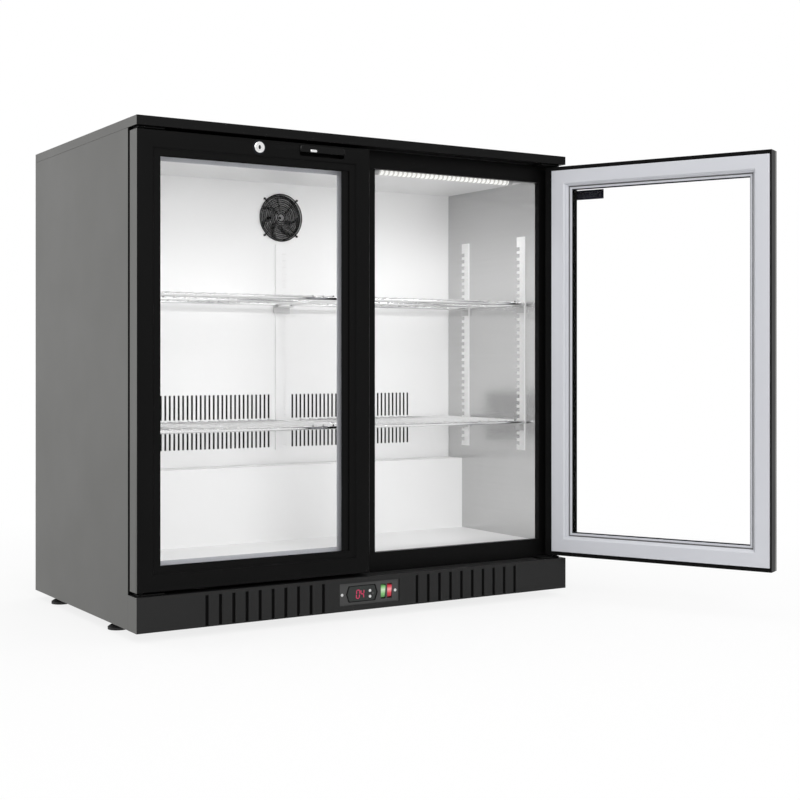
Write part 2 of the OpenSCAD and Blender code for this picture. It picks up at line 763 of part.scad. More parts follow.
// A motor in a ring or a square frame, held by a spider; the shaft points to the front
module fan_motor(hub_r, reach, y0, y1, spider_y) {
    rod_y(hub_r, 0, [spider_y, y1], 0);
    rod_y(shaft_r, 0, [y0, spider_y], 0);
    for (a = [45 : 90 : 315]) rotate([0, a, 0]) block([0, reach], [spider_y, spider_y + 3 * sheet], [-sheet, sheet]);
}

// Pitched blades round a hub, turning about y
module rotor(hub_r, tip_r, depth, blades) {
    chord = (depth - 2 * past - 2 * sheet) / sin(blade_deg);
    rotate([90, 0, 0]) difference() {
        union() {
            cylinder(r = hub_r, h = depth);
            intersection() {
                cylinder(r = tip_r, h = depth);
                for (i = [0 : blades - 1]) rotate([0, 0, i * 360 / blades])
                    translate([hub_r / 2, 0, depth / 2]) rotate([blade_deg, 0, 0])
                        translate([0, -chord / 2, -sheet / 2]) cube([tip_r, chord, sheet]);
            }
        }
        translate([0, 0, -past]) cylinder(r = shaft_r + run_clear, h = depth + 2 * past);
    }
}

module evaporator_fan_frame() color([0.1, 0.1, 0.1]) seat() translate([0, fan_y, fan_z]) {
    slab_y(0, fan_frame_d) difference() {
        square(fan_frame_w, center = true);
        circle(fan_r);
    }
    fan_motor(fan_hub_r, fan_r + past, 2 * past, fan_frame_d, 2 * past + rotor_d + face_clear);
}
module evaporator_fan() color([0.14, 0.14, 0.14]) seat()
    translate([0, fan_y + 2 * past + rotor_d, fan_z]) rotor(fan_hub_r, fan_r - tip_gap, rotor_d, fan_blades);

module fan_guard() color([0.05, 0.05, 0.05]) seat() translate([0, cover_y - 2 * guard_wire, fan_z]) {
    outer = fan_r + guard_wire;
    for (i = [1 : guard_rings])
        rotate([90, 0, 0]) rotate_extrude() translate([outer * i / guard_rings, 0]) circle(guard_wire, $fn = 16);
    for (a = [45 : 90 : 315]) rotate([0, a, 0]) {
        rod_x(guard_wire, [outer / guard_rings, outer + 4 * guard_wire], guard_wire / 2, 0);
        rod_y(2 * guard_wire, outer + 4 * guard_wire, [0, 2 * guard_wire], 0);
    }
}

module drain_tray() color("gainsboro") seat() {
    x = coil_w / 2 + 2 * coil_pitch;
    y = [fan_y + fan_frame_d / 2, rear_in - face_clear];
    difference() {
        block([-x, x], y, [step_h, step_h + tray_h]);
        block([tray_t - x, x - tray_t], [y[0] + tray_t, y[1] - tray_t], [step_h + tray_t, step_h + tray_h + past]);
        rod_z(spout_r - tray_t, 0, spout_y, [step_h - past, step_h + tray_h]);
        for (side = [left, right]) rod_z(line_hole, side * riser_x, riser_y, [step_h - past, step_h + tray_h]);
    }
    difference() {
        rod_z(spout_r, 0, spout_y, [engine_z - 2 * spout_r, step_h + tray_t]);
        rod_z(spout_r - tray_t, 0, spout_y, [engine_z - 3 * spout_r, step_h + tray_h]);
    }
}

module led_bars() color("white") seat() for (x = [led_x, -led_x - led_len])
    bar_x(x, led_len) translate([frame_back + face_clear, ceil_z - led_h]) {
        translate([0, led_h / 2]) square([led_d, led_h / 2]);
        intersection() {
            translate([led_d / 2, led_h / 2 + led_d / 8]) scale(1) circle(led_d / 2);
            square([led_d, led_h / 2 + past]);
        }
    }

// A strip with a comb of notches along one edge, where the clips hook in
module pilaster_strip(edge, len = pilaster_len) linear_extrude(pilaster_t) mirror([edge < 0 ? 1 : 0, 0]) difference() {
    translate([-pilaster_w / 2, 0]) square([pilaster_w, len]);
    for (z = [pilaster_pitch : pilaster_pitch : len - pilaster_pitch])
        translate([pilaster_w / 2 - notch_d, z - notch_h / 2]) square([notch_d + past, notch_h]);
}
wall_pilasters = [frame_y + pilaster_front, cover_y - pilaster_rear];
module pilasters() color("whitesmoke") seat() {
    for (y = wall_pilasters) {
        translate([-in_x, y, pilaster_z]) rotate([90, 0, 90]) pilaster_strip(1);
        translate([in_x, y, pilaster_z]) rotate([90, 0, -90]) pilaster_strip(-1);
    }
    translate([0, cover_y, pilaster_z]) rotate([90, 0, 0]) pilaster_strip(1, rear_pilaster);
    translate([0, mullion_back + pilaster_t, pilaster_z]) rotate([90, 0, 0]) pilaster_strip(1);
}

// An angle clip: its back lies on the pilaster and its tongue carries the shelf's rod
module clip(w, reach) {
    rotate([90, 0, 0]) linear_extrude(w, center = true)
        polygon([[0, 0], [reach, 0], [reach, -clip_t], [clip_t, -clip_t], [clip_t, -clip_h], [0, -clip_h]]);
}
module shelf_clips() color("silver") seat() for (z = [shelf_low, shelf_high]) {
    seat_z = z - shelf_rod - face_clear;
    wall_x = in_x - pilaster_t;
    wall_reach = shelf_side_gap + shelf_rod;
    for (y = wall_pilasters) {
        translate([-wall_x, y, seat_z]) clip(pilaster_w, wall_reach);
        translate([wall_x, y, seat_z]) rotate([0, 0, 180]) clip(pilaster_w, wall_reach);
    }
    centre_w = 2 * (shelf_mid_gap + shelf_rod);
    translate([0, mullion_back + pilaster_t, seat_z]) rotate([0, 0, 90]) clip(centre_w, clip_reach);
    translate([0, cover_y - pilaster_t, seat_z]) rotate([0, 0, -90]) clip(centre_w, clip_reach);
}

module shelf(side, z) mirror([side < 0 ? 1 : 0, 0, 0]) translate([0, 0, z]) {
    cross_y = [shelf_y0, shelf_y0 + (shelf_y1 - shelf_y0) / 2, shelf_y1];
    for (y = cross_y) rod_x(shelf_rod, [shelf_x0, shelf_x1], y, 0);
    for (x = [shelf_x0, shelf_x1]) {
        rod_y(shelf_rod, x, [shelf_y0, shelf_y1], 0);
        for (y = [shelf_y0, shelf_y1]) translate([x, y, 0]) sphere(shelf_rod);
    }
    for (i = [1 : wire_count])
        rod_y(shelf_wire, shelf_x0 + i * (shelf_x1 - shelf_x0) / (wire_count + 1), [shelf_y0, shelf_y1], wire_z);
}
module shelf_left_low() color("silver") seat() shelf(left, shelf_low);
module shelf_left_high() color("silver") seat() shelf(left, shelf_high);
module shelf_right_low() color("silver") seat() shelf(right, shelf_low);
module shelf_right_high() color("silver") seat() shelf(right, shelf_high);

// Machine compartment
comp_foot = 3 * line_r;
module compressor() color([0.07, 0.07, 0.07]) seat() translate([-comp_x, comp_y, sheet]) {
    dome = comp_r / 2;
    foot_x = comp_r * 1.05;
    translate([0, 0, comp_foot]) {
        cylinder(r = comp_r, h = comp_h - dome);
        translate([0, 0, comp_h - dome]) intersection() {
            translate([0, 0, -comp_r]) sphere(r = comp_r * sqrt(2), $fn = 64);
            cylinder(r = comp_r, h = dome);
        }
        translate([0, 0, comp_h / 2]) block([0, comp_r * 1.25], [-comp_r / 3, comp_r / 3], [-comp_r / 3, comp_r / 3]);
    }
    block([-foot_x, foot_x], [-comp_r, comp_r], [comp_foot - sheet, comp_foot + sheet]);
    for (x = [-1, 1], y = [-1, 1]) translate([x * comp_r * 0.85, y * comp_r * 0.8, 0]) cylinder(r = comp_foot, h = comp_foot);
}

cond_rows = floor(cond_h / coil_pitch);
module condenser_coil() color([0.2, 0.2, 0.2]) seat()
    translate([cond_x, cond_y, sheet]) finned_coil(cond_w, cond_d, cond_rows, coil_pitch, coil_fins, cond_d / 2);

cond_fan_y = cond_y + cond_d / 2;
cond_rotor_d = cond_fan_d / 2;
module condenser_fan_frame() color([0.1, 0.1, 0.1]) seat() translate([cond_x, cond_fan_y, cond_z]) {
    slab_y(0, 2 * sheet) difference() {
        square([cond_w - 2 * coil_pitch, cond_h], center = true);
        circle(cond_fan_r);
    }
    slab_y(0, cond_fan_d) difference() {
        circle(cond_fan_r + 2 * sheet);
        circle(cond_fan_r);
    }
    fan_motor(1.4 * fan_hub_r, cond_fan_r + sheet, 2 * past, cond_fan_d, 2 * past + cond_rotor_d + face_clear);
}
module condenser_fan() color([0.14, 0.14, 0.14]) seat()
    translate([cond_x, cond_fan_y + 2 * past + cond_rotor_d, cond_z])
        rotor(1.4 * fan_hub_r, cond_fan_r - tip_gap, cond_rotor_d, fan_blades - 2);

module refrigerant_lines() color("peru") seat() {
    comp_side = comp_x - comp_r;
    stub_z = sheet + comp_foot + comp_h / 4;
    coil_end = -coil_w / 2;
    drop_x = coil_end - coil_pitch / 2;
    rear_tube = coil_y + coil_d / 4;
    front_tube = coil_y - coil_d / 4;
    low_tube = coil_z + coil_pitch / 2;
    run_z = low_tube - 2 * coil_pitch;
    // Suction line from the coil to the compressor
    pipe([
        [coil_end, rear_tube, low_tube], [drop_x, rear_tube, low_tube], [drop_x, rear_tube, run_z],
        [-riser_x, riser_y, run_z], [-riser_x, riser_y, stub_z], [-riser_x, comp_y, stub_z],
        [-comp_side, comp_y, stub_z]
    ], line_r);
    cond_end = cond_x - cond_w / 2;
    turn_x = cond_end - coil_pitch / 2;
    cond_low = sheet + coil_pitch / 2;
    rise_z = engine_z - 2 * coil_pitch;
    // Liquid line from the condenser to the coil
    pipe([
        [cond_end, cond_y + cond_d / 4, cond_low], [turn_x, cond_y + cond_d / 4, cond_low],
        [turn_x, riser_y, cond_low], [turn_x, riser_y, rise_z], [riser_x, riser_y, rise_z],
        [riser_x, riser_y, run_z], [drop_x, front_tube, run_z], [drop_x, front_tube, low_tube],
        [coil_end, front_tube, low_tube]
    ], line_r);
    // Discharge line from the compressor to the condenser
    low_z = stub_z - 5 * line_r;
    knee_x = 8 * line_r - comp_side;
    pipe([
        [-comp_side, comp_y, low_z], [knee_x, comp_y, low_z], [knee_x, cond_y - cond_d / 4, cond_low],
        [cond_end, cond_y - cond_d / 4, cond_low]
    ], line_r);
}

module condensate_tray() color([0.1, 0.1, 0.1]) seat() {
    x = [-riser_x + 4 * line_r, 4 * spout_r];
    y = [spout_y - 4 * spout_r, spout_y + 4 * spout_r];
    difference() {
        block(x, y, [sheet, sheet + tray_h]);
        block(x + [tray_t, -tray_t], y + [tray_t, -tray_t], [sheet + tray_t, sheet + tray_h + past]);
    }
}

// Feet
module foot() {
    pad_h = foot_h / 2;
    translate([0, 0, -foot_h]) {
        cylinder(r = foot_r, h = pad_h * 0.6);
        translate([0, 0, pad_h * 0.6]) cylinder(r1 = foot_r, r2 = foot_r * 0.75, h = pad_h * 0.4);
        translate([0, 0, pad_h]) cylinder(r = 2 * stud_r, h = pad_h - face_clear, $fn = 6);
    }
    translate([0, 0, -foot_h / 2]) cylinder(r = stud_r, h = foot_h / 2 + stud_len);
}
module foot_at(side, y) translate([side * (half_w - foot_in), y, 0]) foot();
module foot_front_left() color([0.1, 0.1, 0.1]) seat() foot_at(left, foot_front);
module foot_front_right() color([0.1, 0.1, 0.1]) seat() foot_at(right, foot_front);
module foot_rear_left() color([0.1, 0.1, 0.1]) seat() foot_at(left, cab_d - foot_rear);
module foot_rear_right() color([0.1, 0.1, 0.1]) seat() foot_at(right, cab_d - foot_rear);

// Doors: x from the hinge edge to the free edge, z from the lower edge
module shut_left() translate([door_side_gap - half_w, 0, door_z]) children();
module hang(side) seat() {
    if (side < 0) shut_left() children();
    else translate([pin_x, pin_back, 0]) rotate([0, 0, open_deg]) translate([-pin_x, -pin_back, 0])
        mirror([1, 0, 0]) shut_left() children();
}

gasket_frame_w = door_w - pin_in - gasket_in;
gasket_frame_h = door_h - 2 * gasket_in;
module gasket_ring(profile, reach) translate([pin_in, 0, gasket_in])
    mitred_ring(gasket_frame_w, gasket_frame_h, profile, reach);

module at_lock() translate([door_w / 2, 0, door_h - lock_s]) children();
module at_pull() translate([door_w - pull_in, 0, door_h - pull_s]) children();

module pull_lip() at_pull() bar_x(-pull_w / 2, pull_w) intersection() {
    translate([-lip_proud - past, -lip_cover]) square([pull_d, lip_cover]);
    translate([lip_r - lip_proud, -pull_h / 3]) difference() {
        circle(lip_r);
        circle(lip_r - lip_t);
    }
    translate([-lip_proud - past, -pull_h]) square([lip_r, 2 * pull_h]);
}

module door_frame() {
    difference() {
        mitred_ring(door_w, door_h, [
            [0, edge_c], [edge_c, 0], [rail_w - band_bevel, 0], [rail_w, border_drop], [opening_s, border_drop],
            [opening_s, pane_y], [rail_w, pane_y], [rail_w, trim_y], [trim_s, trim_y], [trim_s, door_t],
            [0, door_t]
        ], opening_s);
        gasket_ring([
            [dart_in - dart_clear, door_t - dart_d - dart_clear], [dart_in + dart_w + dart_clear, door_t - dart_d - dart_clear],
            [dart_in + dart_w + dart_clear, door_t + past], [dart_in - dart_clear, door_t + past]
        ], dart_in + dart_w + dart_clear);
        at_pull() translate([0, 0, -pull_h / 2]) slab_y(-past, pull_d + past) round_rect(pull_w, pull_h, pull_r);
        at_lock() rod_y(lock_r, 0, [-past, lock_len], 0);
        at_lock() block([-cam_w, cam_len + past], [lock_len, lock_len + cam_t + 3 * face_clear], [-cam_w, lock_s + past]);
        for (z = [[-past, pin_len + past], [door_h - pin_len - past, door_h + past]])
            rod_z(pin_r + run_clear, pin_in, pin_back, z);
    }
    pull_lip();
}

module door_trim() mitred_ring(door_w, door_h, [
    [trim_s, trim_y], [rail_w, trim_y], [rail_w, unit_back], [trim_in, unit_back],
    [trim_in, door_t - trim_bevel], [trim_in - trim_bevel, door_t], [trim_s, door_t]
], trim_in);

module pane_outline(s) translate([s, s]) square([door_w - 2 * s, door_h - 2 * s]);

module door_spacer() slab_y(pane_y + pane_t, pane_gap) difference() {
    pane_outline(rail_w + 2 * pane_clear);
    pane_outline(rail_w + 2 * pane_clear + spacer_w);
}

module door_glass() {
    slab_y(pane_y, pane_t) pane_outline(rail_w + pane_clear);
    slab_y(unit_back - pane_t, pane_t) pane_outline(rail_w + pane_clear);
}

// A flat magnet face on a bellows, with a dart that holds it in the frame's groove
module door_gasket() gasket_ring([
    [0, door_t], [0, door_t + seal_gap / 3], [seal_gap / 3, gasket_top], [gasket_w - seal_gap / 2, gasket_top],
    [gasket_w - seal_gap / 3, door_t + seal_gap / 2], [gasket_w, door_t + seal_gap / 2], [gasket_w, door_t],
    [dart_in + dart_w, door_t], [dart_in + dart_w, door_t - dart_d], [dart_in, door_t - dart_d], [dart_in, door_t]
], gasket_w);

module lock_barrel() at_lock() difference() {
    union() {
        rod_y(lock_face_r, 0, [-lock_face_t, 0], 0);
        rod_y(lock_r, 0, [0, lock_len], 0);
    }
    rod_y(plug_r + run_clear, 0, [-lock_face_t - past, lock_len + past], 0);
}

module lock_plug() at_lock() {
    cam_y = lock_len + face_clear;
    key_w = plug_r / 3;
    difference() {
        rod_y(plug_r, 0, [-lock_face_t - face_clear, cam_y + cam_t], 0);
        block([-plug_r / 2, plug_r / 2], [-lock_face_t - past, lock_len / 2], [-key_w / 2, key_w / 2]);
    }
    slab_y(cam_y, cam_t) {
        circle(cam_w * 0.75);
        translate([0, -cam_w / 2]) square([cam_len - cam_w / 2, cam_w]);
        translate([cam_len - cam_w / 2, 0]) circle(cam_w / 2);
    }
}

module left_door_frame() color([0.07, 0.07, 0.07]) hang(left) door_frame();
module left_door_trim() color("lightgray") hang(left) door_trim();
module left_door_spacer() color([0.1, 0.1, 0.12]) hang(left) door_spacer();
module left_door_glass() color([0.8, 0.9, 0.9, 0.3]) hang(left) door_glass();
module left_door_gasket() color("lightgray") hang(left) door_gasket();
module left_lock_barrel() color("silver") hang(left) lock_barrel();
module left_lock_plug() color("gray") hang(left) lock_plug();
module right_door_frame() color([0.07, 0.07, 0.07]) hang(right) door_frame();
module right_door_trim() color("lightgray") hang(right) door_trim();
module right_door_spacer() color([0.1, 0.1, 0.12]) hang(right) door_spacer();
module right_door_glass() color([0.8, 0.9, 0.9, 0.3]) hang(right) door_glass();
module right_door_gasket() color("lightgray") hang(right) door_gasket();
module right_lock_barrel() color("silver") hang(right) lock_barrel();
module right_lock_plug() color("gray") hang(right) lock_plug();

side_panel_left();
side_panel_right();
worktop();
rear_panel();
base_pan();
bulkhead();
insulation();
liner_left();
liner_right();
liner_wrap();
front_frame();
centre_mullion();
kick_plate();
hinge_plates();
rear_grille();
cable_gland();
control_bezel();
thermostat();
key_up();
key_set();
key_down();
light_rocker();
power_rocker();
evaporator_cover();
evaporator_coil();
evaporator_fan_frame();
evaporator_fan();
fan_guard();
drain_tray();
led_bars();
pilasters();
shelf_clips();
shelf_left_low();
shelf_left_high();
shelf_right_low();
shelf_right_high();
compressor();
condenser_coil();
condenser_fan_frame();
condenser_fan();
refrigerant_lines();
condensate_tray();
foot_front_left();
foot_front_right();
foot_rear_left();
foot_rear_right();
left_door_frame();
left_door_trim();
left_door_spacer();
left_door_glass();
left_door_gasket();
left_lock_barrel();
left_lock_plug();
right_door_frame();
right_door_trim();
right_door_spacer();
right_door_glass();
right_door_gasket();
right_lock_barrel();
right_lock_plug();
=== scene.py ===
import json
from math import cos, pi, radians, sin

import bmesh
import bpy
import numpy as np
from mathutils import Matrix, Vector


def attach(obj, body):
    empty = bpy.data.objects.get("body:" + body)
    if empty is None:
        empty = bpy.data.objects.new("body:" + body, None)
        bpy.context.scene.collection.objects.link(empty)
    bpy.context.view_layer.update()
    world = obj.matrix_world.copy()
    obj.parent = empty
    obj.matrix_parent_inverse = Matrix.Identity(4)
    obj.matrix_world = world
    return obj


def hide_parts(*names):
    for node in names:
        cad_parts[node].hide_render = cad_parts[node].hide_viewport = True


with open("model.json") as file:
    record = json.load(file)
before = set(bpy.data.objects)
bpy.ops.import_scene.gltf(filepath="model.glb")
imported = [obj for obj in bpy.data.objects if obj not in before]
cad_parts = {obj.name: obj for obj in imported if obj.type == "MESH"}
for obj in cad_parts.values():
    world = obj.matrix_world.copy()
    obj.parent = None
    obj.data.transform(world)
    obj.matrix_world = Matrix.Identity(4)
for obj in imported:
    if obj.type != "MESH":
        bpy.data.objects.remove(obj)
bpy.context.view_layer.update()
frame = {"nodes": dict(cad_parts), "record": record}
nodes = frame["nodes"]
record = frame["record"]

# sizes of the cooler in millimetres: y from the door faces, z from the underside
cabinet = {"width": 900, "depth": 520, "lift": 15}
door = {"width": 446, "height": 762, "low": 66, "sideGap": 1, "pinIn": 13, "pinBack": 15, "openAngle": 116}
pinX = cabinet["width"] / 2 - door["sideGap"] - door["pinIn"]
millimetre = 0.001

# in metres, how near points are made one: at the seams of grids, in slivers, in copies of CAD solids
weld = {"seam": 1e-6, "sliver": 1e-7, "copy": 2e-6}


# points in the cooler's own millimetres become metres in the part's frame
def toRow(points):
    return (np.asarray(points, float) + [0, -cabinet["depth"] / 2, cabinet["lift"]]) * millimetre


# points on a door, x from the hinge edge and z from its lower edge; the right door is the left one mirrored
# and swung open
def toDoor(points, side):
    placed = np.array(points, float)
    placed[..., 0] += door["sideGap"] - cabinet["width"] / 2
    placed[..., 2] += door["low"]
    if side == "right":
        pin = np.array([pinX, door["pinBack"]])
        turn = radians(door["openAngle"])
        spin = np.array([[cos(turn), sin(turn)], [-sin(turn), cos(turn)]])
        placed[..., 0] *= -1
        placed[..., :2] = (placed[..., :2] - pin) @ spin + pin
    return toRow(placed)


# a grid of points [u, v] gives one quad for each cell; a wrapped direction joins its last line to its first
def gridCells(points, wrapU=False, wrapV=False):
    rows, cols = points.shape[:2]
    u = np.arange(rows if wrapU else rows - 1)[:, None]
    v = np.arange(cols if wrapV else cols - 1)[None, :]
    nextU, nextV = (u + 1) % rows, (v + 1) % cols
    corners = (u * cols + v, nextU * cols + v, nextU * cols + nextV, u * cols + nextV)
    quads = np.stack(np.broadcast_arrays(*corners), -1)
    return points.reshape(-1, 3), quads.reshape(-1, 4)


# joins several grids into one mesh, closes its seams and poles and turns its faces outwards
def makePiece(name, grids, material, body, stands=None, sharp=35):
    points, quads, base = [], [], 0
    for p, q in grids:
        points.append(p)
        quads.append(q + base)
        base += len(p)
    mesh = bpy.data.meshes.new(name)
    mesh.from_pydata(np.concatenate(points), [], np.concatenate(quads))
    work = bmesh.new()
    work.from_mesh(mesh)
    bmesh.ops.remove_doubles(work, verts=work.verts, dist=weld["seam"])
    bmesh.ops.dissolve_degenerate(work, edges=work.edges, dist=weld["sliver"])
    bmesh.ops.recalc_face_normals(work, faces=work.faces)
    work.to_mesh(mesh)
    work.free()
    return finishPiece(name, mesh, material, body, stands, sharp)


def finishPiece(name, mesh, material, body, stands, sharp):
    mesh.shade_smooth()
    mesh.set_sharp_from_angle(angle=radians(sharp))
    mesh.materials.clear()
    mesh.materials.append(material)
    piece = bpy.data.objects.new(name, mesh)
    bpy.context.scene.collection.objects.link(piece)
    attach(piece, body)
    if stands:
        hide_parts(*stands)
    return piece


# how edges are rounded: angles in degrees, and how near to the outermost point a face counts as outer, in metres
edgeForm = {"steps": 2, "angle": 40, "flat": 1, "facing": 0.95, "layer": 0.002}


# a copy of a CAD solid with its sharp edges rounded; its outermost faces towards a direction may take a second
# finish that paints light or shade by which way they face, over the whole face or, past a cut, only from the
# front back to that depth
def softCopy(node, material, body, slot, width, sides=(), paintedLightFinish=None, cut=None):
    mesh = nodes[node].data.copy()
    work = bmesh.new()
    work.from_mesh(mesh)
    bmesh.ops.remove_doubles(work, verts=work.verts, dist=weld["copy"])
    bmesh.ops.dissolve_limit(work, angle_limit=radians(edgeForm["flat"]), verts=work.verts, edges=work.edges)
    if cut:
        everything = work.verts[:] + work.edges[:] + work.faces[:]
        bmesh.ops.bisect_plane(work, geom=everything, plane_co=cut["at"], plane_no=cut["inwards"])
    work.to_mesh(mesh)
    work.free()
    piece = finishPiece(node + "_soft", mesh, material, body, [node], edgeForm["angle"])
    if paintedLightFinish:
        mesh.materials.append(paintedLightFinish)
        normal, centre = np.empty(len(mesh.polygons) * 3), np.empty(len(mesh.polygons) * 3)
        mesh.polygons.foreach_get("normal", normal)
        mesh.polygons.foreach_get("center", centre)
        normal, centre = normal.reshape(-1, 3), centre.reshape(-1, 3)
        towards = np.asarray(sides, float).T
        reach = centre @ towards
        # faces that take the painted light or shade
        outer = (normal @ towards > edgeForm["facing"]) & (reach > reach.max(0) - edgeForm["layer"])
        if cut:
            outer[:, -1] &= (centre - cut["at"]) @ cut["inwards"] < 0
        mesh.polygons.foreach_set("material_index", outer.any(1).astype(np.int32))
    softEdge = piece.modifiers.new("edge", "BEVEL")
    softEdge.width = width * millimetre
    softEdge.segments = edgeForm["steps"]
    softEdge.limit_method = "ANGLE"
    softEdge.angle_limit = radians(edgeForm["angle"])
    softEdge.harden_normals = True


# rounds each corner of a closed outline: a parabola from one side's cut point to the next, with the corner as
# its control; a cut takes at most a share of its side
def roundCorners(outline, radius, steps=5, share=0.45):
    corner = np.asarray(outline, float)
    before = np.roll(corner, 1, 0) - corner
    after = np.roll(corner, -1, 0) - corner
    lengthA = np.linalg.norm(before, axis=1, keepdims=True)
    lengthB = np.linalg.norm(after, axis=1, keepdims=True)
    cut = np.broadcast_to(np.asarray(radius, float).reshape(-1, 1), lengthA.shape)
    start = corner + before / lengthA * np.minimum(cut, share * lengthA)
    stop = corner + after / lengthB * np.minimum(cut, share * lengthB)
    t = np.linspace(0, 1, steps)[None, :, None]
    arc = (1 - t) ** 2 * start[:, None] + 2 * t * (1 - t) * corner[:, None] + t ** 2 * stop[:, None]
    return arc.reshape(-1, 2)


# insets [n, 4] from a door's hinge, lower, free and upper edge, with depths [n], carried round its four mitred
# corners
def doorRing(insets, depth):
    a, b, c, d = np.asarray(insets, float).T
    w, h = door["width"], door["height"]
    corner = np.stack([np.stack(pair, -1) for pair in ((a, b), (w - c, b), (w - c, h - d), (a, h - d))])
    deep = np.broadcast_to(np.asarray(depth, float), corner.shape[:2])
    return np.stack([corner[..., 0], deep, corner[..., 1]], -1)


# a profile of [radius, height] turned about an axis through a point; the axis is the base's third direction
def turned(profile, centre, base, steps):
    angle = np.linspace(0, 2 * pi, steps, endpoint=False)[None, :, None]
    r, h = np.asarray(profile, float)[:, None, :1], np.asarray(profile, float)[:, None, 1:]
    e0, e1, e2 = np.asarray(base, float)
    return np.asarray(centre, float) + r * np.cos(angle) * e0 + r * np.sin(angle) * e1 + h * e2


facingFront = [[1, 0, 0], [0, 0, 1], [0, -1, 0]]
facingRear = [[-1, 0, 0], [0, 0, 1], [0, 1, 0]]
facingUp = [[1, 0, 0], [0, 1, 0], [0, 0, 1]]


# a rounded outline in a plane, lifted through layers of [inset, height] and closed at both ends
def layeredPlate(outline, layers, centre, base):
    shape = np.asarray(outline, float)
    middle = shape.mean(0)
    reach = np.linalg.norm(shape - middle, axis=1, keepdims=True)
    e0, e1, e2 = np.asarray(base, float)
    rows = [middle + (shape - middle) * np.clip(1 - inset / reach, 0, 1) for inset, _ in layers]
    flat = np.stack([np.broadcast_to(middle, shape.shape)] + rows + [np.broadcast_to(middle, shape.shape)])
    height = np.array([layers[0][1]] + [h for _, h in layers] + [layers[-1][1]], float)[:, None, None]
    return np.asarray(centre, float) + flat[..., :1] * e0 + flat[..., 1:] * e1 + height * e2


# layers whose height rises as a quarter ellipse with the distance in from the edge
def swelling(reach, foot, swell, steps):
    inset = np.linspace(0, reach, steps)
    return list(zip(inset, foot + swell * np.sqrt(1 - (1 - inset / reach) ** 2)))


# a rectangle about the origin with rounded corners
def boxOutline(width, height, radius, steps=5):
    w, h = width / 2, height / 2
    return roundCorners([[-w, -h], [w, -h], [w, h], [-w, h]], radius, steps)


# closes a tube of rings: its first and its last ring are drawn to their middles
def capped(rings):
    first, last = (np.broadcast_to(rings[k].mean(0), rings[:1].shape) for k in (0, -1))
    return np.concatenate([first, rings, last])


# a section of [y, z] carried along x through stations and closed at both ends
def sweepAlong(section, stations):
    x = np.broadcast_to(np.asarray(stations, float)[:, None, None], (len(stations), len(section), 1))
    flat = np.broadcast_to(section, (len(stations), len(section), 2))
    return capped(np.concatenate([x, flat], -1))


# shader helpers
def addNode(tree, kind, inputs=None, **settings):
    made = tree.nodes.new(kind)
    for key, value in settings.items():
        setattr(made, key, value)
    for key, value in (inputs or {}).items():
        if isinstance(value, bpy.types.NodeSocket):
            tree.links.new(value, made.inputs[key])
        else:
            made.inputs[key].default_value = value
    return made


# a new material with its tree and its Principled shader
def newMaterial(name):
    material = bpy.data.materials.new(name)
    material.use_nodes = True
    return material, material.node_tree, material.node_tree.nodes["Principled BSDF"]


# a grey level or a colour as the four numbers of a colour socket
def shade(tone):
    return (tone, tone, tone, 1) if isinstance(tone, float) else (*tone, 1)


# one for a ray that any of these flags holds for
def anyOf(tree, *flags):
    joined = flags[0]
    for flag in flags[1:]:
        joined = addNode(tree, "ShaderNodeMath", {0: joined, 1: flag}, operation="MAXIMUM").outputs[0]
    return joined


def makeGroup(name, inputs, outputs):
    group = bpy.data.node_groups.new(name, "ShaderNodeTree")
    for label, kind, value in inputs:
        socket = group.interface.new_socket(label, in_out="INPUT", socket_type="NodeSocket" + kind)
        socket.default_value = value
    for label, kind in outputs:
        group.interface.new_socket(label, in_out="OUTPUT", socket_type="NodeSocket" + kind)
    return group, group.nodes.new("NodeGroupInput").outputs, group.nodes.new("NodeGroupOutput").inputs


noiseSpan = (0.3, 0.7)  # most of a noise lies between these
groupOutputs = [("Colour", "Color"), ("Roughness", "Float"), ("Height", "Float")]


# what both groups put out: one noise blends two colours and two roughnesses, one gives the height
def blendByNoise(group, given, out, noise, height):
    tones = {0: noise, 6: given["Colour A"], 7: given["Colour B"]}
    blend = addNode(group, "ShaderNodeMix", tones, data_type="RGBA")
    low, high = noiseSpan
    span = {"Value": noise, "From Min": low, "From Max": high,
            "To Min": given["Rough Low"], "To Max": given["Rough High"]}
    rough = addNode(group, "ShaderNodeMapRange", span)
    group.links.new(blend.outputs[2], out["Colour"])
    group.links.new(rough.outputs["Result"], out["Roughness"])
    group.links.new(height, out["Height"])


# coat grain: fine noise for the height, broad noise that drifts between two colours and two roughnesses
def buildCoatGrain():
    inputs = [("Colour A", "Color", (0.1, 0.1, 0.1, 1)), ("Colour B", "Color", (0.12, 0.12, 0.12, 1)),
              ("Grain", "Float", 900.0), ("Drift", "Float", 4.0), ("Rough Low", "Float", 0.35),
              ("Rough High", "Float", 0.45)]
    group, given, out = makeGroup("coatGrain", inputs, groupOutputs)
    place = addNode(group, "ShaderNodeTexCoord").outputs["Object"]
    fine = addNode(group, "ShaderNodeTexNoise",
                   {"Vector": place, "Scale": given["Grain"], "Detail": 2.0, "Roughness": 0.55})
    broad = addNode(group, "ShaderNodeTexNoise",
                    {"Vector": place, "Scale": given["Drift"], "Detail": 3.0, "Roughness": 0.6})
    blendByNoise(group, given, out, broad.outputs["Fac"], fine.outputs["Fac"])
    return group


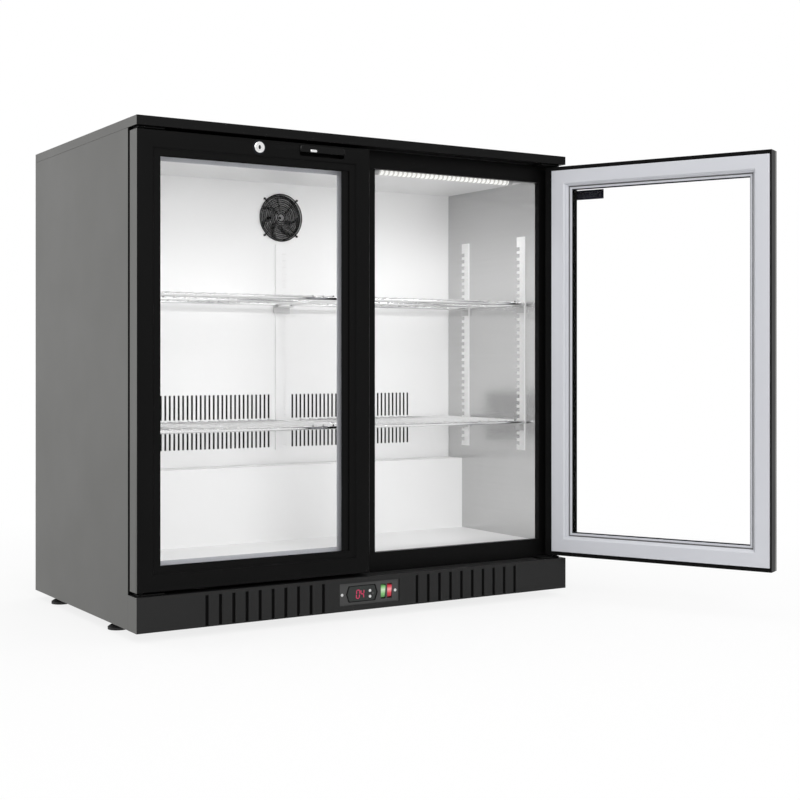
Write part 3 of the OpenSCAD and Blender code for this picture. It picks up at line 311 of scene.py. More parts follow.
# brushed streaks: noise drawn out along one direction, for sheet metal
def buildBrushedStreak():
    inputs = [("Colour A", "Color", (0.6, 0.6, 0.6, 1)), ("Colour B", "Color", (0.7, 0.7, 0.7, 1)),
              ("Stretch", "Vector", (200.0, 200.0, 3.0)), ("Rough Low", "Float", 0.2),
              ("Rough High", "Float", 0.3)]
    group, given, out = makeGroup("brushedStreak", inputs, groupOutputs)
    place = addNode(group, "ShaderNodeTexCoord").outputs["Object"]
    drawn = addNode(group, "ShaderNodeVectorMath", {0: place, 1: given["Stretch"]}, operation="MULTIPLY")
    streak = addNode(group, "ShaderNodeTexNoise",
                     {"Vector": drawn.outputs[0], "Scale": 1.0, "Detail": 4.0, "Roughness": 0.6})
    blendByNoise(group, given, out, streak.outputs["Fac"], streak.outputs["Fac"])
    return group


coatGrain = buildCoatGrain()
brushedStreak = buildBrushedStreak()
bumpDepth = 0.0002


# a finish is one of the groups above feeding a Principled shader; what is the same all over sits on the shader
def makeFinish(name, toneA, toneB, roughLow, roughHigh, grain, bump, mirror=0.5, metal=0.0, drift=4.0):
    material, tree, shader = newMaterial(name)
    brushed = isinstance(grain, tuple)
    given = {"Colour A": shade(toneA), "Colour B": shade(toneB), "Rough Low": roughLow, "Rough High": roughHigh}
    given.update({"Stretch": grain} if brushed else {"Grain": grain, "Drift": drift})
    effect = addNode(tree, "ShaderNodeGroup", given, node_tree=brushedStreak if brushed else coatGrain)
    tree.links.new(effect.outputs["Colour"], shader.inputs["Base Color"])
    tree.links.new(effect.outputs["Roughness"], shader.inputs["Roughness"])
    lift = addNode(tree, "ShaderNodeBump",
                   {"Strength": bump, "Distance": bumpDepth, "Height": effect.outputs["Height"]})
    tree.links.new(lift.outputs["Normal"], shader.inputs["Normal"])
    shader.inputs["Specular IOR Level"].default_value = mirror
    shader.inputs["Metallic"].default_value = metal
    return material


# two tones, two roughnesses, the scale of the grain or the stretch of the streaks, bump, and where they differ
# from makeFinish's own values mirror, metal and drift
finishForms = {
    # the side paint is a dark grey, made lighter than the black front paint by a painted sheen from the light at
    # the left
    "sidePaintAndSheen": ((0.082, 0.082, 0.076), (0.09, 0.09, 0.083), 0.38, 0.46, 1400, 0.12),
    "topPaint": (0.0045, 0.0065, 0.42, 0.5, 1400, 0.12, 0.07),
    "frontBlack": (0.004, 0.0055, 0.3, 0.38, 1600, 0.06, 0.05),
    "pullGloss": (0.004, 0.0055, 0.16, 0.22, 1600, 0.03, 0.1),
    "plateNavy": ((0.003, 0.003, 0.008), (0.004, 0.004, 0.011), 0.3, 0.4, 900, 0.02, 0.04),
    "lensSmoke": ((0.02, 0.023, 0.022), (0.026, 0.03, 0.028), 0.12, 0.2, 700, 0.02, 0.3),
    "mouldedPale": (0.42, 0.48, 0.4, 0.5, 1200, 0.08),
    "kickBlack": (0.016, 0.021, 0.45, 0.55, 1200, 0.2, 0.15),
    "linerWhite": (0.8, 0.84, 0.35, 0.45, 700, 0.05),
    "linerSteel": (0.54, 0.6, 0.16, 0.24, (260.0, 3.0, 260.0), 0.04, 0.5, 1.0),
    "zincSheet": (0.5, 0.62, 0.35, 0.5, 60, 0.05, 0.5, 1.0, 40.0),
    "wireChrome": (0.75, 0.82, 0.12, 0.2, 500, 0.03, 0.5, 1.0),
    "finMetal": (0.62, 0.7, 0.3, 0.42, (2.0, 300.0, 300.0), 0.06, 0.5, 1.0),
    "machineBlack": (0.012, 0.018, 0.35, 0.45, 800, 0.1),
    "mouldedBlack": (0.014, 0.02, 0.45, 0.55, 1500, 0.15),
    "mouldedGrey": (0.03, 0.042, 0.45, 0.55, 1500, 0.15),
    "trimSilver": ((0.6, 0.61, 0.65), (0.64, 0.65, 0.69), 0.34, 0.42, 900, 0.04),
    "gasketGrey": ((0.61, 0.62, 0.66), (0.65, 0.66, 0.7), 0.4, 0.5, 1100, 0.06),
    "rubberGreyAndShade": (0.16, 0.2, 0.5, 0.6, 900, 0.1, 0.2),
    "spacerDark": ((0.006, 0.007, 0.01), (0.009, 0.01, 0.014), 0.4, 0.5, 700, 0.05, 0.1),
    "copperTube": ((0.72, 0.36, 0.2), (0.8, 0.45, 0.28), 0.25, 0.4, 300, 0.05, 0.5, 1.0),
    "displayGloss": (0.003, 0.005, 0.1, 0.16, 500, 0.02, 0.1),
    "keyWhite": (0.75, 0.8, 0.3, 0.4, 900, 0.04),
    "guardBlack": (0.004, 0.007, 0.4, 0.5, 900, 0.05, 0.1),
    "fanGrey": (0.28, 0.34, 0.4, 0.5, 900, 0.05),
    "filterBlackAndShade": (0.003, 0.005, 0.8, 0.9, 500, 0.4, 0.05),
    "footRubber": (0.012, 0.018, 0.6, 0.75, 900, 0.2),
    "lockMetal": (0.72, 0.8, 0.16, 0.24, 600, 0.03, 0.5, 1.0),
    "foamRaw": ((0.75, 0.66, 0.4), (0.82, 0.74, 0.5), 0.7, 0.85, 250, 0.4),
}
finishes = {name: makeFinish(name, *form) for name, form in finishForms.items()}


# clear pane: coated glass with little mirror in it, which lets lamp light through
def makeGlass():
    material, tree, shader = newMaterial("clearPane")
    pane = {"Base Color": (1, 1, 1, 1), "Roughness": 0.0, "IOR": 1.12, "Transmission Weight": 1.0}
    for key, value in pane.items():
        shader.inputs[key].default_value = value
    rays = addNode(tree, "ShaderNodeLightPath").outputs
    lampRay = anyOf(tree, rays["Is Shadow Ray"], rays["Is Diffuse Ray"])
    clear = addNode(tree, "ShaderNodeBsdfTransparent")
    mixed = addNode(tree, "ShaderNodeMixShader", {0: lampRay, 1: shader.outputs[0], 2: clear.outputs[0]})
    tree.links.new(mixed.outputs[0], tree.nodes["Material Output"].inputs["Surface"])
    return material


# glows: the rockers' lower and upper ends in metres, the scale of the drift, and how far the ends of a ramp are
# dimmed, which on the rockers is painted shade, and where a band of painted highlight starts, peaks and stops
glowForm = {"rough": 0.25, "band": (0.0333, 0.0557), "drift": 120.0, "dark": 0.3, "dim": 0.55, "end": 0.25,
            "stops": (0.3, 0.62, 0.86)}


# lit plastics: a glow that drifts a little over the face, runs in dots along x, or peaks between two heights in a
# band of painted highlight whose ends are dimmed as painted shade; the rockers' glow itself is their own
def makeGlow(name, colour, glow, strength, dots=None, paintedHighlight=None):
    f = glowForm
    material, tree, shader = newMaterial(name)
    shader.inputs["Base Color"].default_value = shade(colour)
    shader.inputs["Roughness"].default_value = f["rough"]
    shader.inputs["Emission Strength"].default_value = strength
    place = addNode(tree, "ShaderNodeTexCoord").outputs["Object"]
    if dots:
        wave = addNode(tree, "ShaderNodeTexWave", {"Vector": place, "Scale": dots, "Distortion": 0.0},
                       wave_profile="SIN", bands_direction="X")
        source = wave.outputs["Fac"]
    elif paintedHighlight:
        height = addNode(tree, "ShaderNodeSeparateXYZ", {"Vector": place}).outputs["Z"]
        low, high = f["band"]
        span = addNode(tree, "ShaderNodeMapRange", {"Value": height, "From Min": low, "From Max": high})
        source = span.outputs["Result"]
    else:
        source = addNode(tree, "ShaderNodeTexNoise", {"Vector": place, "Scale": f["drift"]}).outputs["Fac"]
    ramp = addNode(tree, "ShaderNodeValToRGB", {"Fac": source})
    stops = ramp.color_ramp.elements
    stops[0].color = shade([c * (f["dark"] if dots or paintedHighlight else f["dim"]) for c in glow])
    stops[1].color = shade([c * f["end"] for c in glow] if paintedHighlight else glow)
    for at, tone in zip(f["stops"], (glow, paintedHighlight, glow)) if paintedHighlight else ():
        stops.new(at).color = shade(tone)
    tree.links.new(ramp.outputs["Color"], shader.inputs["Emission Color"])
    return material


finishes["clearPane"] = makeGlass()
finishes["lampWhite"] = makeGlow("lampWhite", (0.5, 0.5, 0.49), (1.0, 0.99, 0.95), 0.8, dots=31.0)
finishes["rockerGreen"] = makeGlow("rockerGreen", (0.06, 0.22, 0.06), (0.25, 0.5, 0.18), 0.55,
                                   paintedHighlight=(0.9, 1.0, 0.8))
finishes["rockerRed"] = makeGlow("rockerRed", (0.3, 0.012, 0.025), (0.6, 0.03, 0.06), 0.6, paintedHighlight=(1.0, 0.5, 0.52))
finishes["digitRed"] = makeGlow("digitRed", (0.25, 0.01, 0.04), (0.7, 0.05, 0.14), 0.6)
print("finishes made:", len(finishes))

# every CAD node that shows gets its finish by its record slot
slotFinish = {
    "body_dark": "sidePaintAndSheen", "worktop_black": "topPaint", "frame_black": "frontBlack",
    "liner_white": "linerWhite", "liner_side": "linerSteel", "foam": "foamRaw", "zinc": "zincSheet",
    "wire_chrome": "wireChrome", "coil_metal": "finMetal", "machine_black": "machineBlack",
    "black_plastic": "mouldedBlack", "grey_plastic": "mouldedGrey", "trim_silver": "trimSilver",
    "gasket_grey": "gasketGrey", "pane": "clearPane", "spacer_dark": "spacerDark", "lamp": "lampWhite",
    "copper": "copperTube", "display_black": "displayGloss", "key_white": "keyWhite",
    "rocker_green": "rockerGreen", "rocker_red": "rockerRed", "foot_rubber": "footRubber",
    "lock_metal": "lockMetal",
}
# nodes whose finish isn't their slot's
ownFinish = {
    # the zinc base pan and bulkhead are painted black here, partly as painted shade for the machine space seen
    # through the kick plate's slots
    "kick_plate": "kickBlack", "base_pan": "machineBlack", "bulkhead": "machineBlack",
    "fan_guard": "guardBlack", "evaporator_fan_frame": "guardBlack", "key_set": "mouldedGrey",
    "thermostat": "lensSmoke",
}
slotOf = {part["node"]: part["material_slot"] for part in record["subparts"]}
for name, piece in nodes.items():
    piece.data.materials.clear()
    piece.data.materials.append(finishes[ownFinish.get(name, slotFinish[slotOf[name]])])

# sheet and moulded pieces whose edges catch the light: node, finish, body, slot, radius in millimetres
softEdges = [
    ("worktop", "topPaint", "cabinet", "worktop_black", 1.2),
    ("kick_plate", "kickBlack", "cabinet", "frame_black", 0.5),
    ("side_panel_left", "sidePaintAndSheen", "cabinet", "body_dark", 0.8),
    ("side_panel_right", "sidePaintAndSheen", "cabinet", "body_dark", 0.8),
    ("front_frame", "frontBlack", "cabinet", "frame_black", 1.0),
    ("centre_mullion", "frontBlack", "cabinet", "frame_black", 1.0),
    ("left_door_frame", "frontBlack", "left_door", "frame_black", 0.9),
    ("right_door_frame", "frontBlack", "right_door", "frame_black", 0.9),
    ("control_bezel", "mouldedGrey", "cabinet", "grey_plastic", 0.5),
    ("rear_panel", "sidePaintAndSheen", "cabinet", "body_dark", 0.4),
    ("rear_grille", "sidePaintAndSheen", "cabinet", "body_dark", 0.3),
]
litFreeEdge = {"depth": 10.5}


# painted light and shade by facing: the ends of the black pieces take the side panels' lighter grey as painted
# light, and the side panels' own front edges take the black front paint as painted shade; a door's free edge is
# painted light only from its face back to a depth, and painted shade behind it
def paintedLightByFacing(node):
    if node.startswith("side_panel"):
        return {"sides": [(0, -1, 0)], "paintedLightFinish": finishes["frontBlack"]}
    if node in ("worktop", "kick_plate"):
        return {"sides": [(1, 0, 0), (-1, 0, 0)], "paintedLightFinish": finishes["sidePaintAndSheen"]}
    if node.endswith("door_frame"):
        metre = 1 / millimetre
        places = [[0, 0, 0], [metre, 0, 0], [0, metre, 0], [0, litFreeEdge["depth"], 0]]
        start, along, inwards, at = toDoor(places, node.split("_")[0])
        cut = {"at": at, "inwards": inwards - start}
        return {"sides": [start - along, along - start], "paintedLightFinish": finishes["sidePaintAndSheen"], "cut": cut}
    return {}


for node, finish, body, slot, radius in softEdges:
    softCopy(node, finishes[finish], body, slot, radius, **paintedLightByFacing(node))
print("edges softened:", len(softEdges))

# door dressing: the seal is a wide flat band with a sloped inner edge, the silver trim steps down past a groove
# with a dark grey rubber in it to the glass, the rubber partly standing as painted shade along the groove, a dark
# bead closes the step and a black border is printed on the outer face; both panes are the same part, so sides go
# left, lower, right, upper as seen from the front
trimForm = {"outer": 22, "seat": 28, "pocket": 30, "pane": 24.1, "inner": 45, "top": 33, "shoulder": 36.2,
            "slope": 30.4, "groove": (38.7, 41.4), "ledge": 27.6, "deep": 24.7, "shift": [-5, 0, 9, 0],
            "round": [0.3, 0.3, 0.3, 0.4, 0.8, 0.5, 0.3, 0.3, 0.5, 0.5, 1.3]}
rubberForm = {"rise": 1.6, "lap": 0.1, "round": [0.1, 0.4, 0.4, 0.1]}
sealForm = {"start": 8.2, "width": 28, "top": 37.7, "root": 32, "slope": (2.8, 3.4), "shift": [-5, 0, 7, 0],
            "round": [0.2, 1.4, 0.7, 0.7, 0.2], "steps": 6}
beadForm = {"outer": [40, 44.5, 53, 44.5], "inner": [41.2, 47.4, 54.2, 47.4], "lip": 24.5, "low": 24.2,
            "top": 25.1}
borderForm = {"outer": 40.3, "inner": [43.3, 42.4, 56.0, 42.8], "depth": (5.65, 5.88)}


# insets as seen from the front become insets from the hinge, lower, free and upper edge
def bySide(values, side):
    left, lower, right, upper = values
    return np.array([left, lower, right, upper] if side == "left" else [right, lower, left, upper], float)


def ringPiece(name, insets, depth, finish, side, stands=None):
    ring = toDoor(doorRing(insets, depth), side)
    makePiece(side + name, [gridCells(ring, True, True)], finishes[finish], side + "_door", stands)


def dressDoor(side):
    t = trimForm
    near, far = t["groove"]
    outline = [[t["outer"], t["seat"]], [t["pocket"], t["seat"]], [t["pocket"], t["pane"]],
               [t["inner"], t["pane"]], [t["inner"], t["ledge"]], [far, t["ledge"]], [far, t["deep"]],
               [near, t["deep"]], [near, t["slope"]], [t["shoulder"], t["top"]], [t["outer"], t["top"]]]
    profile = roundCorners(outline, t["round"])
    shift = bySide(t["shift"], side)
    ringPiece("_trim_frame", profile[:, :1] + shift, profile[:, 1], "trimSilver", side,
              [side + "_door_trim"])
    r = rubberForm
    low, high = t["deep"] - r["lap"], t["deep"] + r["rise"]
    near, far = near - r["lap"], far + r["lap"]
    profile = roundCorners([[near, low], [near, high], [far, high], [far, low]], r["round"])
    ringPiece("_glazing_rubber_and_shade", profile[:, :1] + shift, profile[:, 1], "rubberGreyAndShade", side)
    g = sealForm
    across, down = g["slope"]
    outline = [[0, g["root"]], [0, g["top"]], [g["width"] - across, g["top"]], [g["width"], g["top"] - down],
               [g["width"], g["root"]]]
    profile = roundCorners(outline, g["round"], g["steps"])
    shift = bySide(g["shift"], side) + g["start"]
    ringPiece("_seal", profile[:, :1] + shift, profile[:, 1], "gasketGrey", side,
              [side + "_door_gasket"])
    b = beadForm
    outer, inner = bySide(b["outer"], side), bySide(b["inner"], side)
    insets = [outer, outer, inner, inner]
    low, lip, top = b["low"], b["lip"], b["top"]
    ringPiece("_glass_lip", insets, [low, lip, lip, low], "trimSilver", side)
    ringPiece("_glass_bead", insets, [lip, top, top, lip], "spacerDark", side)
    p = borderForm
    outer, inner = np.full(4, float(p["outer"])), bySide(p["inner"], side)
    insets = [outer, outer, inner, inner]
    near, far = p["depth"]
    ringPiece("_printed_border", insets, [near, far, far, near], "frontBlack", side)


for side in ("left", "right"):
    dressDoor(side)
print("doors dressed")

# hinges: over and under each door a leaf whose outer front corner is rounded about the pin
hingeForm = {"outer": 443, "inner": 396, "front": 8, "rear": 36, "round": [7, 2, 1, 1], "steps": 9, "thick": 3.0,
             "ease": 0.3, "low": 59.05, "top": 833.95, "pin": 3.9, "pinSteps": 24,
             "pinEnds": ((60, 77.5), (816.5, 833))}


def makeHinges():
    f = hingeForm
    ease, thick, r = f["ease"], f["thick"], f["pin"]
    corners = [[f["outer"], f["front"]], [f["inner"], f["front"]], [f["inner"], f["rear"]],
               [f["outer"], f["rear"]]]
    layers = [(ease, 0), (0, ease), (0, thick - ease), (ease, thick)]
    grids = []
    for sign in (-1, 1):
        leaf = roundCorners(np.array(corners, float) * [sign, 1], f["round"], f["steps"])
        for low in (f["low"], f["top"] - thick):
            plate = layeredPlate(leaf, layers, [0, 0, low], facingUp)
            grids.append(gridCells(toRow(plate), False, True))
        for low, high in f["pinEnds"]:
            profile = [(0, low), (r, low), (r, high), (0, high)]
            pin = turned(profile, [sign * pinX, door["pinBack"], 0], facingUp, f["pinSteps"])
            grids.append(gridCells(toRow(pin), False, True))
    makePiece("hinge_leaves", grids, finishes["guardBlack"], "cabinet", ["hinge_plates"])


makeHinges()
print("hinges set")

# locks and pulls: a bright rim round each lock with a dark keyway, a swelling lip over each finger pull, and on
# each lip a small polished pip whose brightness is a painted highlight
lockForm = {"x": 223, "z": 748, "steps": 40,
            "rim": [(9.7, 0), (9.7, 1.4), (9.3, 2.0), (8.4, 2.2), (7.3, 2.2), (6.9, 1.9), (6.9, 0)],
            "seat": [(9.8, 0), (9.8, 0.25), (11.4, 0.35), (12.4, 0.25), (12.4, 0)],
            "keyway": (3.4, 7.0, 1.1), "keyLayers": [(0, -0.2), (0, 0.02), (0.3, 0.05)], "face": 2.32}
pullForm = {"x": 347.5, "z": 752.6, "width": 93, "height": 12.4, "corner": 5.5, "swell": 2.2, "foot": 0.9,
            "reach": 6.0, "steps": 9, "sharp": 60}
glintPipForm = {"x": 329, "up": -2.9, "width": 13, "height": 4.4, "corner": 0.45, "rise": 0.5, "sunk": 0.1, "steps": 7}


def dressLock(side):
    f = lockForm
    # the dark seat ring round each lock is painted shade round its rim
    for name, profile, finish, slot in (("_lock_rim", f["rim"], "lockMetal", "lock_metal"),
                                        ("_lock_shade_seat", f["seat"], "spacerDark", "spacer_dark")):
        ring = toDoor(turned(profile, [f["x"], 0, f["z"]], facingFront, f["steps"]), side)
        makePiece(side + name, [gridCells(ring, True, True)], finishes[finish], side + "_door")
    plate = layeredPlate(boxOutline(*f["keyway"]), f["keyLayers"], [f["x"], -f["face"], f["z"]], facingFront)
    makePiece(side + "_keyway", [gridCells(toDoor(plate, side), False, True)], finishes["spacerDark"],
              side + "_lock")


def dressPull(side):
    f = pullForm
    shape = boxOutline(f["width"], f["height"], f["corner"], f["steps"])
    layers = [(0, 0)] + swelling(f["reach"], f["foot"], f["swell"], f["steps"])
    lip = layeredPlate(shape, layers, [f["x"], 0, f["z"]], facingFront)
    makePiece(side + "_pull_lip", [gridCells(toDoor(lip, side), False, True)], finishes["pullGloss"],
              side + "_door", sharp=f["sharp"])
    p = glintPipForm
    shape = boxOutline(p["width"], p["height"], p["corner"] * p["height"], p["steps"])
    layers = [(0, 0)] + swelling(p["height"] / 2, 0, p["rise"], p["steps"])
    centre = [p["x"], p["sunk"] - f["foot"] - f["swell"], f["z"] + p["up"]]
    pip = layeredPlate(shape, layers, centre, facingFront)
    makePiece(side + "_pull_glint_pip", [gridCells(toDoor(pip, side), False, True)], finishes["lockMetal"],
              side + "_door", sharp=f["sharp"])


for side in ("left", "right"):
    dressLock(side)
    dressPull(side)

# a bare dark plate on the outer face of the right pane
plateForm = {"place": [82.4, 5.55, 706.2], "outline": (58.8, 18.4, 1.0),
             "layers": [(0, 0.02), (0, 0.5), (0.3, 0.6)]}


def makePlate():
    f = plateForm
    plate = layeredPlate(boxOutline(*f["outline"]), f["layers"], f["place"], facingFront)
    makePiece("right_bare_plate", [gridCells(toDoor(plate, "right"), False, True)], finishes["plateNavy"],
              "right_door")


makePlate()
print("locks and pulls set")

# filter pads behind the slots of the kick plate and of the evaporator's cover: a near-black sheet, partly a
# filter and partly painted shade that keeps the slots dark, whose depth runs in a sine across its width, set on
# the back of the plate
padForms = {
    "filter_pads": {"start": 90, "end": 336, "low": 0.4, "high": 54, "front": 2.75, "thick": 3.0},
    "return_pads": {"start": 20, "end": 314, "low": 266, "high": 388, "front": 351.3, "thick": 2.0},
}
padWave = {"deep": 0.35, "pitch": 4.0, "stations": 493, "sharp": 60}


def makePads(name, f):
    x = np.linspace(f["start"], f["end"], padWave["stations"])
    wave = (1 - np.cos(2 * pi * (x - f["start"]) / padWave["pitch"])) / 2
    ripple = f["front"] + padWave["deep"] * wave
    back = np.full_like(x, f["front"] + f["thick"])
    low, high = np.full_like(x, f["low"]), np.full_like(x, f["high"])
    sides = ((ripple, low), (ripple, high), (back, high), (back, low))
    grids = []
    for sign in (-1, 1):
        loop = np.stack([np.stack([sign * x, y, z], -1) for y, z in sides], 1)
        grids.append(gridCells(toRow(capped(loop)), False, True))
    makePiece(name, grids, finishes["filterBlackAndShade"], "cabinet", sharp=padWave["sharp"])


for name, form in padForms.items():
    makePads(name, form)
print("filter pads set")

# control panel: a raised rim and smoky lens on the display, two figures of seven strokes, round screws
panel = {"x": -18, "z": 29.5, "width": 66, "height": 29, "point": 5, "corner": 1.2, "cornerSteps": 4,
         "face": 2.5, "window": -5.2,
         "rim": [(0, -0.1), (0, 0.8), (0.5, 1.2), (1.5, 1.2), (2.1, 0.8), (2.1, -0.1)],
         "lens": [(2.2, 0.02), (2.2, 0.15), (2.6, 0.2)], "screws": ((-59.4, 29.3), (52.6, 29.3)), "screwR": 2.7}
figureForm = {"show": "04", "width": 6.2, "height": 14.5, "pitch": 9.0, "stroke": 1.8, "x": -22.0, "drop": 1.0,
              "proud": 0.35, "gap": 0.35, "slant": 0.08, "layers": [(0, -0.1), (0, 0.12)]}
strokesOf = {"0": "abcdef", "4": "bcfg"}


def hexOutline():
    w, h, p = panel["width"] / 2, panel["height"] / 2, panel["point"]
    corners = [[-w, 0], [p - w, -h], [w - p, -h], [w, 0], [w - p, h], [p - w, h]]
    return roundCorners(corners, panel["corner"], panel["cornerSteps"])


# each stroke is a bar with pointed ends, placed at the middle of its side of the figure
def figureGrids():
    f = figureForm
    w, h, t = f["width"], f["height"], f["stroke"] / 2
    places = {"a": (0, h / 2, 0), "b": (w / 2, h / 4, 1), "c": (w / 2, -h / 4, 1), "d": (0, -h / 2, 0),
              "e": (-w / 2, -h / 4, 1), "f": (-w / 2, h / 4, 1), "g": (0, 0, 0)}
    grids = []
    for i, figure in enumerate(f["show"]):
        middle = f["x"] + (i - (len(f["show"]) - 1) / 2) * f["pitch"]
        for key in strokesOf[figure]:
            x, z, upright = places[key]
            half = (h / 4 if upright else w / 2) - f["gap"]
            bar = np.array([[-half, 0], [t - half, -t], [half - t, -t], [half, 0], [half - t, t], [t - half, t]])
            bar = bar[:, ::-1] if upright else bar
            centre = [middle + x + f["slant"] * z, panel["face"] - f["proud"], panel["z"] - f["drop"] + z]
            stroke = layeredPlate(bar, f["layers"], centre, facingFront)
            grids.append(gridCells(toRow(stroke), False, True))
    return grids


# a round head in shares of its radius: a dome over a short wall, with a dimple for the driver
headForm = {"profile": [(0, 0.16), (0.2, 0.2), (0.3, 0.42), (0.55, 0.4), (0.82, 0.28), (1, 0.08), (1, -0.1),
                        (0, -0.1)], "steps": 20}


def screwHeads(name, places, radius, finish, base, depth):
    profile = radius * np.array(headForm["profile"])
    heads = [turned(profile, [x, depth, z], base, headForm["steps"]) for x, z in places]
    makePiece(name, [gridCells(toRow(head), False, True) for head in heads], finishes[finish], "cabinet")


def dressPanel():
    shape = hexOutline()
    centre = [panel["x"], panel["face"], panel["z"]]
    rim = layeredPlate(shape, panel["rim"], centre, facingFront)[1:-1]
    makePiece("display_rim", [gridCells(toRow(rim), True, True)], finishes["displayGloss"], "cabinet")
    lens = layeredPlate(shape, panel["lens"], centre, facingFront)
    lens[..., 0] = np.minimum(lens[..., 0], panel["window"])  # it ends before the keys
    makePiece("display_lens", [gridCells(toRow(lens), False, True)], finishes["lensSmoke"], "cabinet")
    makePiece("display_figures", figureGrids(), finishes["digitRed"], "cabinet")
    screwHeads("panel_screws", panel["screws"], panel["screwR"], "keyWhite", facingFront,
               panel["face"])


# rockers: a pillow that swells from its edge, tipped about its pivot
rockerForm = {"width": 9.4, "height": 22.4, "corner": 1.4, "pivot": 6.5, "back": -4.4, "edge": 2.6, "swell": 1.85,
              "reach": 3.6, "steps": 8, "tilt": 8, "sharp": 60}
rockers = {
    "light_rocker": {"x": 27, "finish": "rockerGreen", "body": "light_switch", "slot": "rocker_green"},
    "power_rocker": {"x": 40.5, "finish": "rockerRed", "body": "power_switch", "slot": "rocker_red"},
}


def dressRocker(node, own):
    f = rockerForm
    tilt = radians(f["tilt"])
    base = [[1, 0, 0], [0, -sin(tilt), cos(tilt)], [0, -cos(tilt), -sin(tilt)]]
    layers = [(0, f["back"])] + swelling(f["reach"], f["edge"], f["swell"], f["steps"])
    shape = boxOutline(f["width"], f["height"], f["corner"])
    pillow = layeredPlate(shape, layers, [own["x"], f["pivot"], panel["z"]], base)
    makePiece(node + "_pillow", [gridCells(toRow(pillow), False, True)], finishes[own["finish"]], own["body"],
              [node], sharp=f["sharp"])


# screws round the rear panel and the louvred sheet under it
rearForm = {"edgeX": 444, "edgeZ": (20, 105, 190, 235, 380, 525, 670, 812), "rowX": (-300, -100, 100, 300),
            "rowZ": (219, 824), "radius": 3.6}


def dressRear():
    f = rearForm
    edges = [(sign * f["edgeX"], z) for sign in (-1, 1) for z in f["edgeZ"]]
    rows = [(x, z) for z in f["rowZ"] for x in f["rowX"]]
    screwHeads("rear_screws", edges + rows, f["radius"], "zincSheet", facingRear, cabinet["depth"])


dressRear()
dressPanel()
for node, own in rockers.items():
    dressRocker(node, own)
print("control panel dressed")

# a strip inside the worktop's lip, its stepped section carried along x, closes the gap over the front frame
stripForm = {"reach": 446, "round": 0.3, "steps": 3,
             "section": [(26, 835.3), (41, 835.3), (41, 834.1), (47, 834.1), (47, 836.6), (26, 836.6)]}


def makeStrip():
    f = stripForm
    strip = sweepAlong(roundCorners(f["section"], f["round"], f["steps"]), (-f["reach"], f["reach"]))
    makePiece("lip_strip", [gridCells(toRow(strip), False, True)], finishes["mouldedBlack"], "cabinet")


# light bars: a half round diffuser hung from the ceiling, carried along the bar, between two end caps, with a
# flatter channel for the lead from its outer end to the side
barForm = {"start": 40, "end": 358, "y": 58.3, "half": 8.0, "top": 805, "spring": 799.2, "low": 792.6, "cap": 9.0,
           "inside": -0.5, "lead": 403, "flat": 0.45, "steps": 13, "stations": 3}


def barSection(grow):
    f = barForm
    angle = np.linspace(0, pi, f["steps"])
    y = f["y"] - (f["half"] + grow) * np.cos(angle)
    z = f["spring"] - (f["spring"] - f["low"] + grow) * np.sin(angle)
    return np.concatenate([[[y[0], f["top"]]], np.stack([y, z], -1), [[y[-1], f["top"]]]])


def dressBars():
    f = barForm
    coverShape, capShape = barSection(f["inside"]), barSection(0.0)
    leadShape = capShape * [1, f["flat"]] + [0, (1 - f["flat"]) * f["top"]]
    covers, caps, leads = [], [], []
    for sign in (-1, 1):
        first, last = sorted((sign * f["start"], sign * f["end"]))
        low, high = first + f["cap"], last - f["cap"]
        covers.append(sweepAlong(coverShape, np.linspace(low, high, f["stations"])))
        caps += [sweepAlong(capShape, (first, low)), sweepAlong(capShape, (high, last))]
        leads.append(sweepAlong(leadShape, sorted((sign * f["end"], sign * f["lead"]))))
    for name, tubes, finish, stands in (("light_leads", leads, "mouldedPale", None),
                                        ("light_covers", covers, "lampWhite", ["led_bars"]),
                                        ("light_caps", caps, "mouldedPale", None)):
        grids = [gridCells(toRow(tube), False, True) for tube in tubes]
        makePiece(name, grids, finishes[finish], "cabinet", stands)


makeStrip()
dressBars()
print("light bars dressed")

# fan rotors: swept blades whose pitch eases towards the tip, round a domed hub
rotors = {
    "evaporator_fan": {"body": "evaporator_rotor", "centre": (0, 736), "y": (353.2, 366.2), "hub": 15,
                       "tip": 43.5, "blades": 7, "finish": "fanGrey"},
    "condenser_fan": {"body": "condenser_rotor", "centre": (200, 81.2), "y": (391.2, 409.2), "hub": 22,
                      "tip": 65.5, "blades": 5, "finish": "machineBlack"},
}
bladeForm = {"root": 1, "sweep": 0.5, "curl": 1.5, "chord": 0.30, "flare": 0.12, "pitch": 0.36, "ease": 0.12,
             "camber": 0.8, "wall": 0.0011, "steps": 9, "sharp": 60}
# the hub's dome as shares of its radius, with how far each lies behind its front
hubForm = {"dome": [(0, 0.4), (0.55, 0.6), (0.85, 1.6), (1, 4)], "steps": 36}


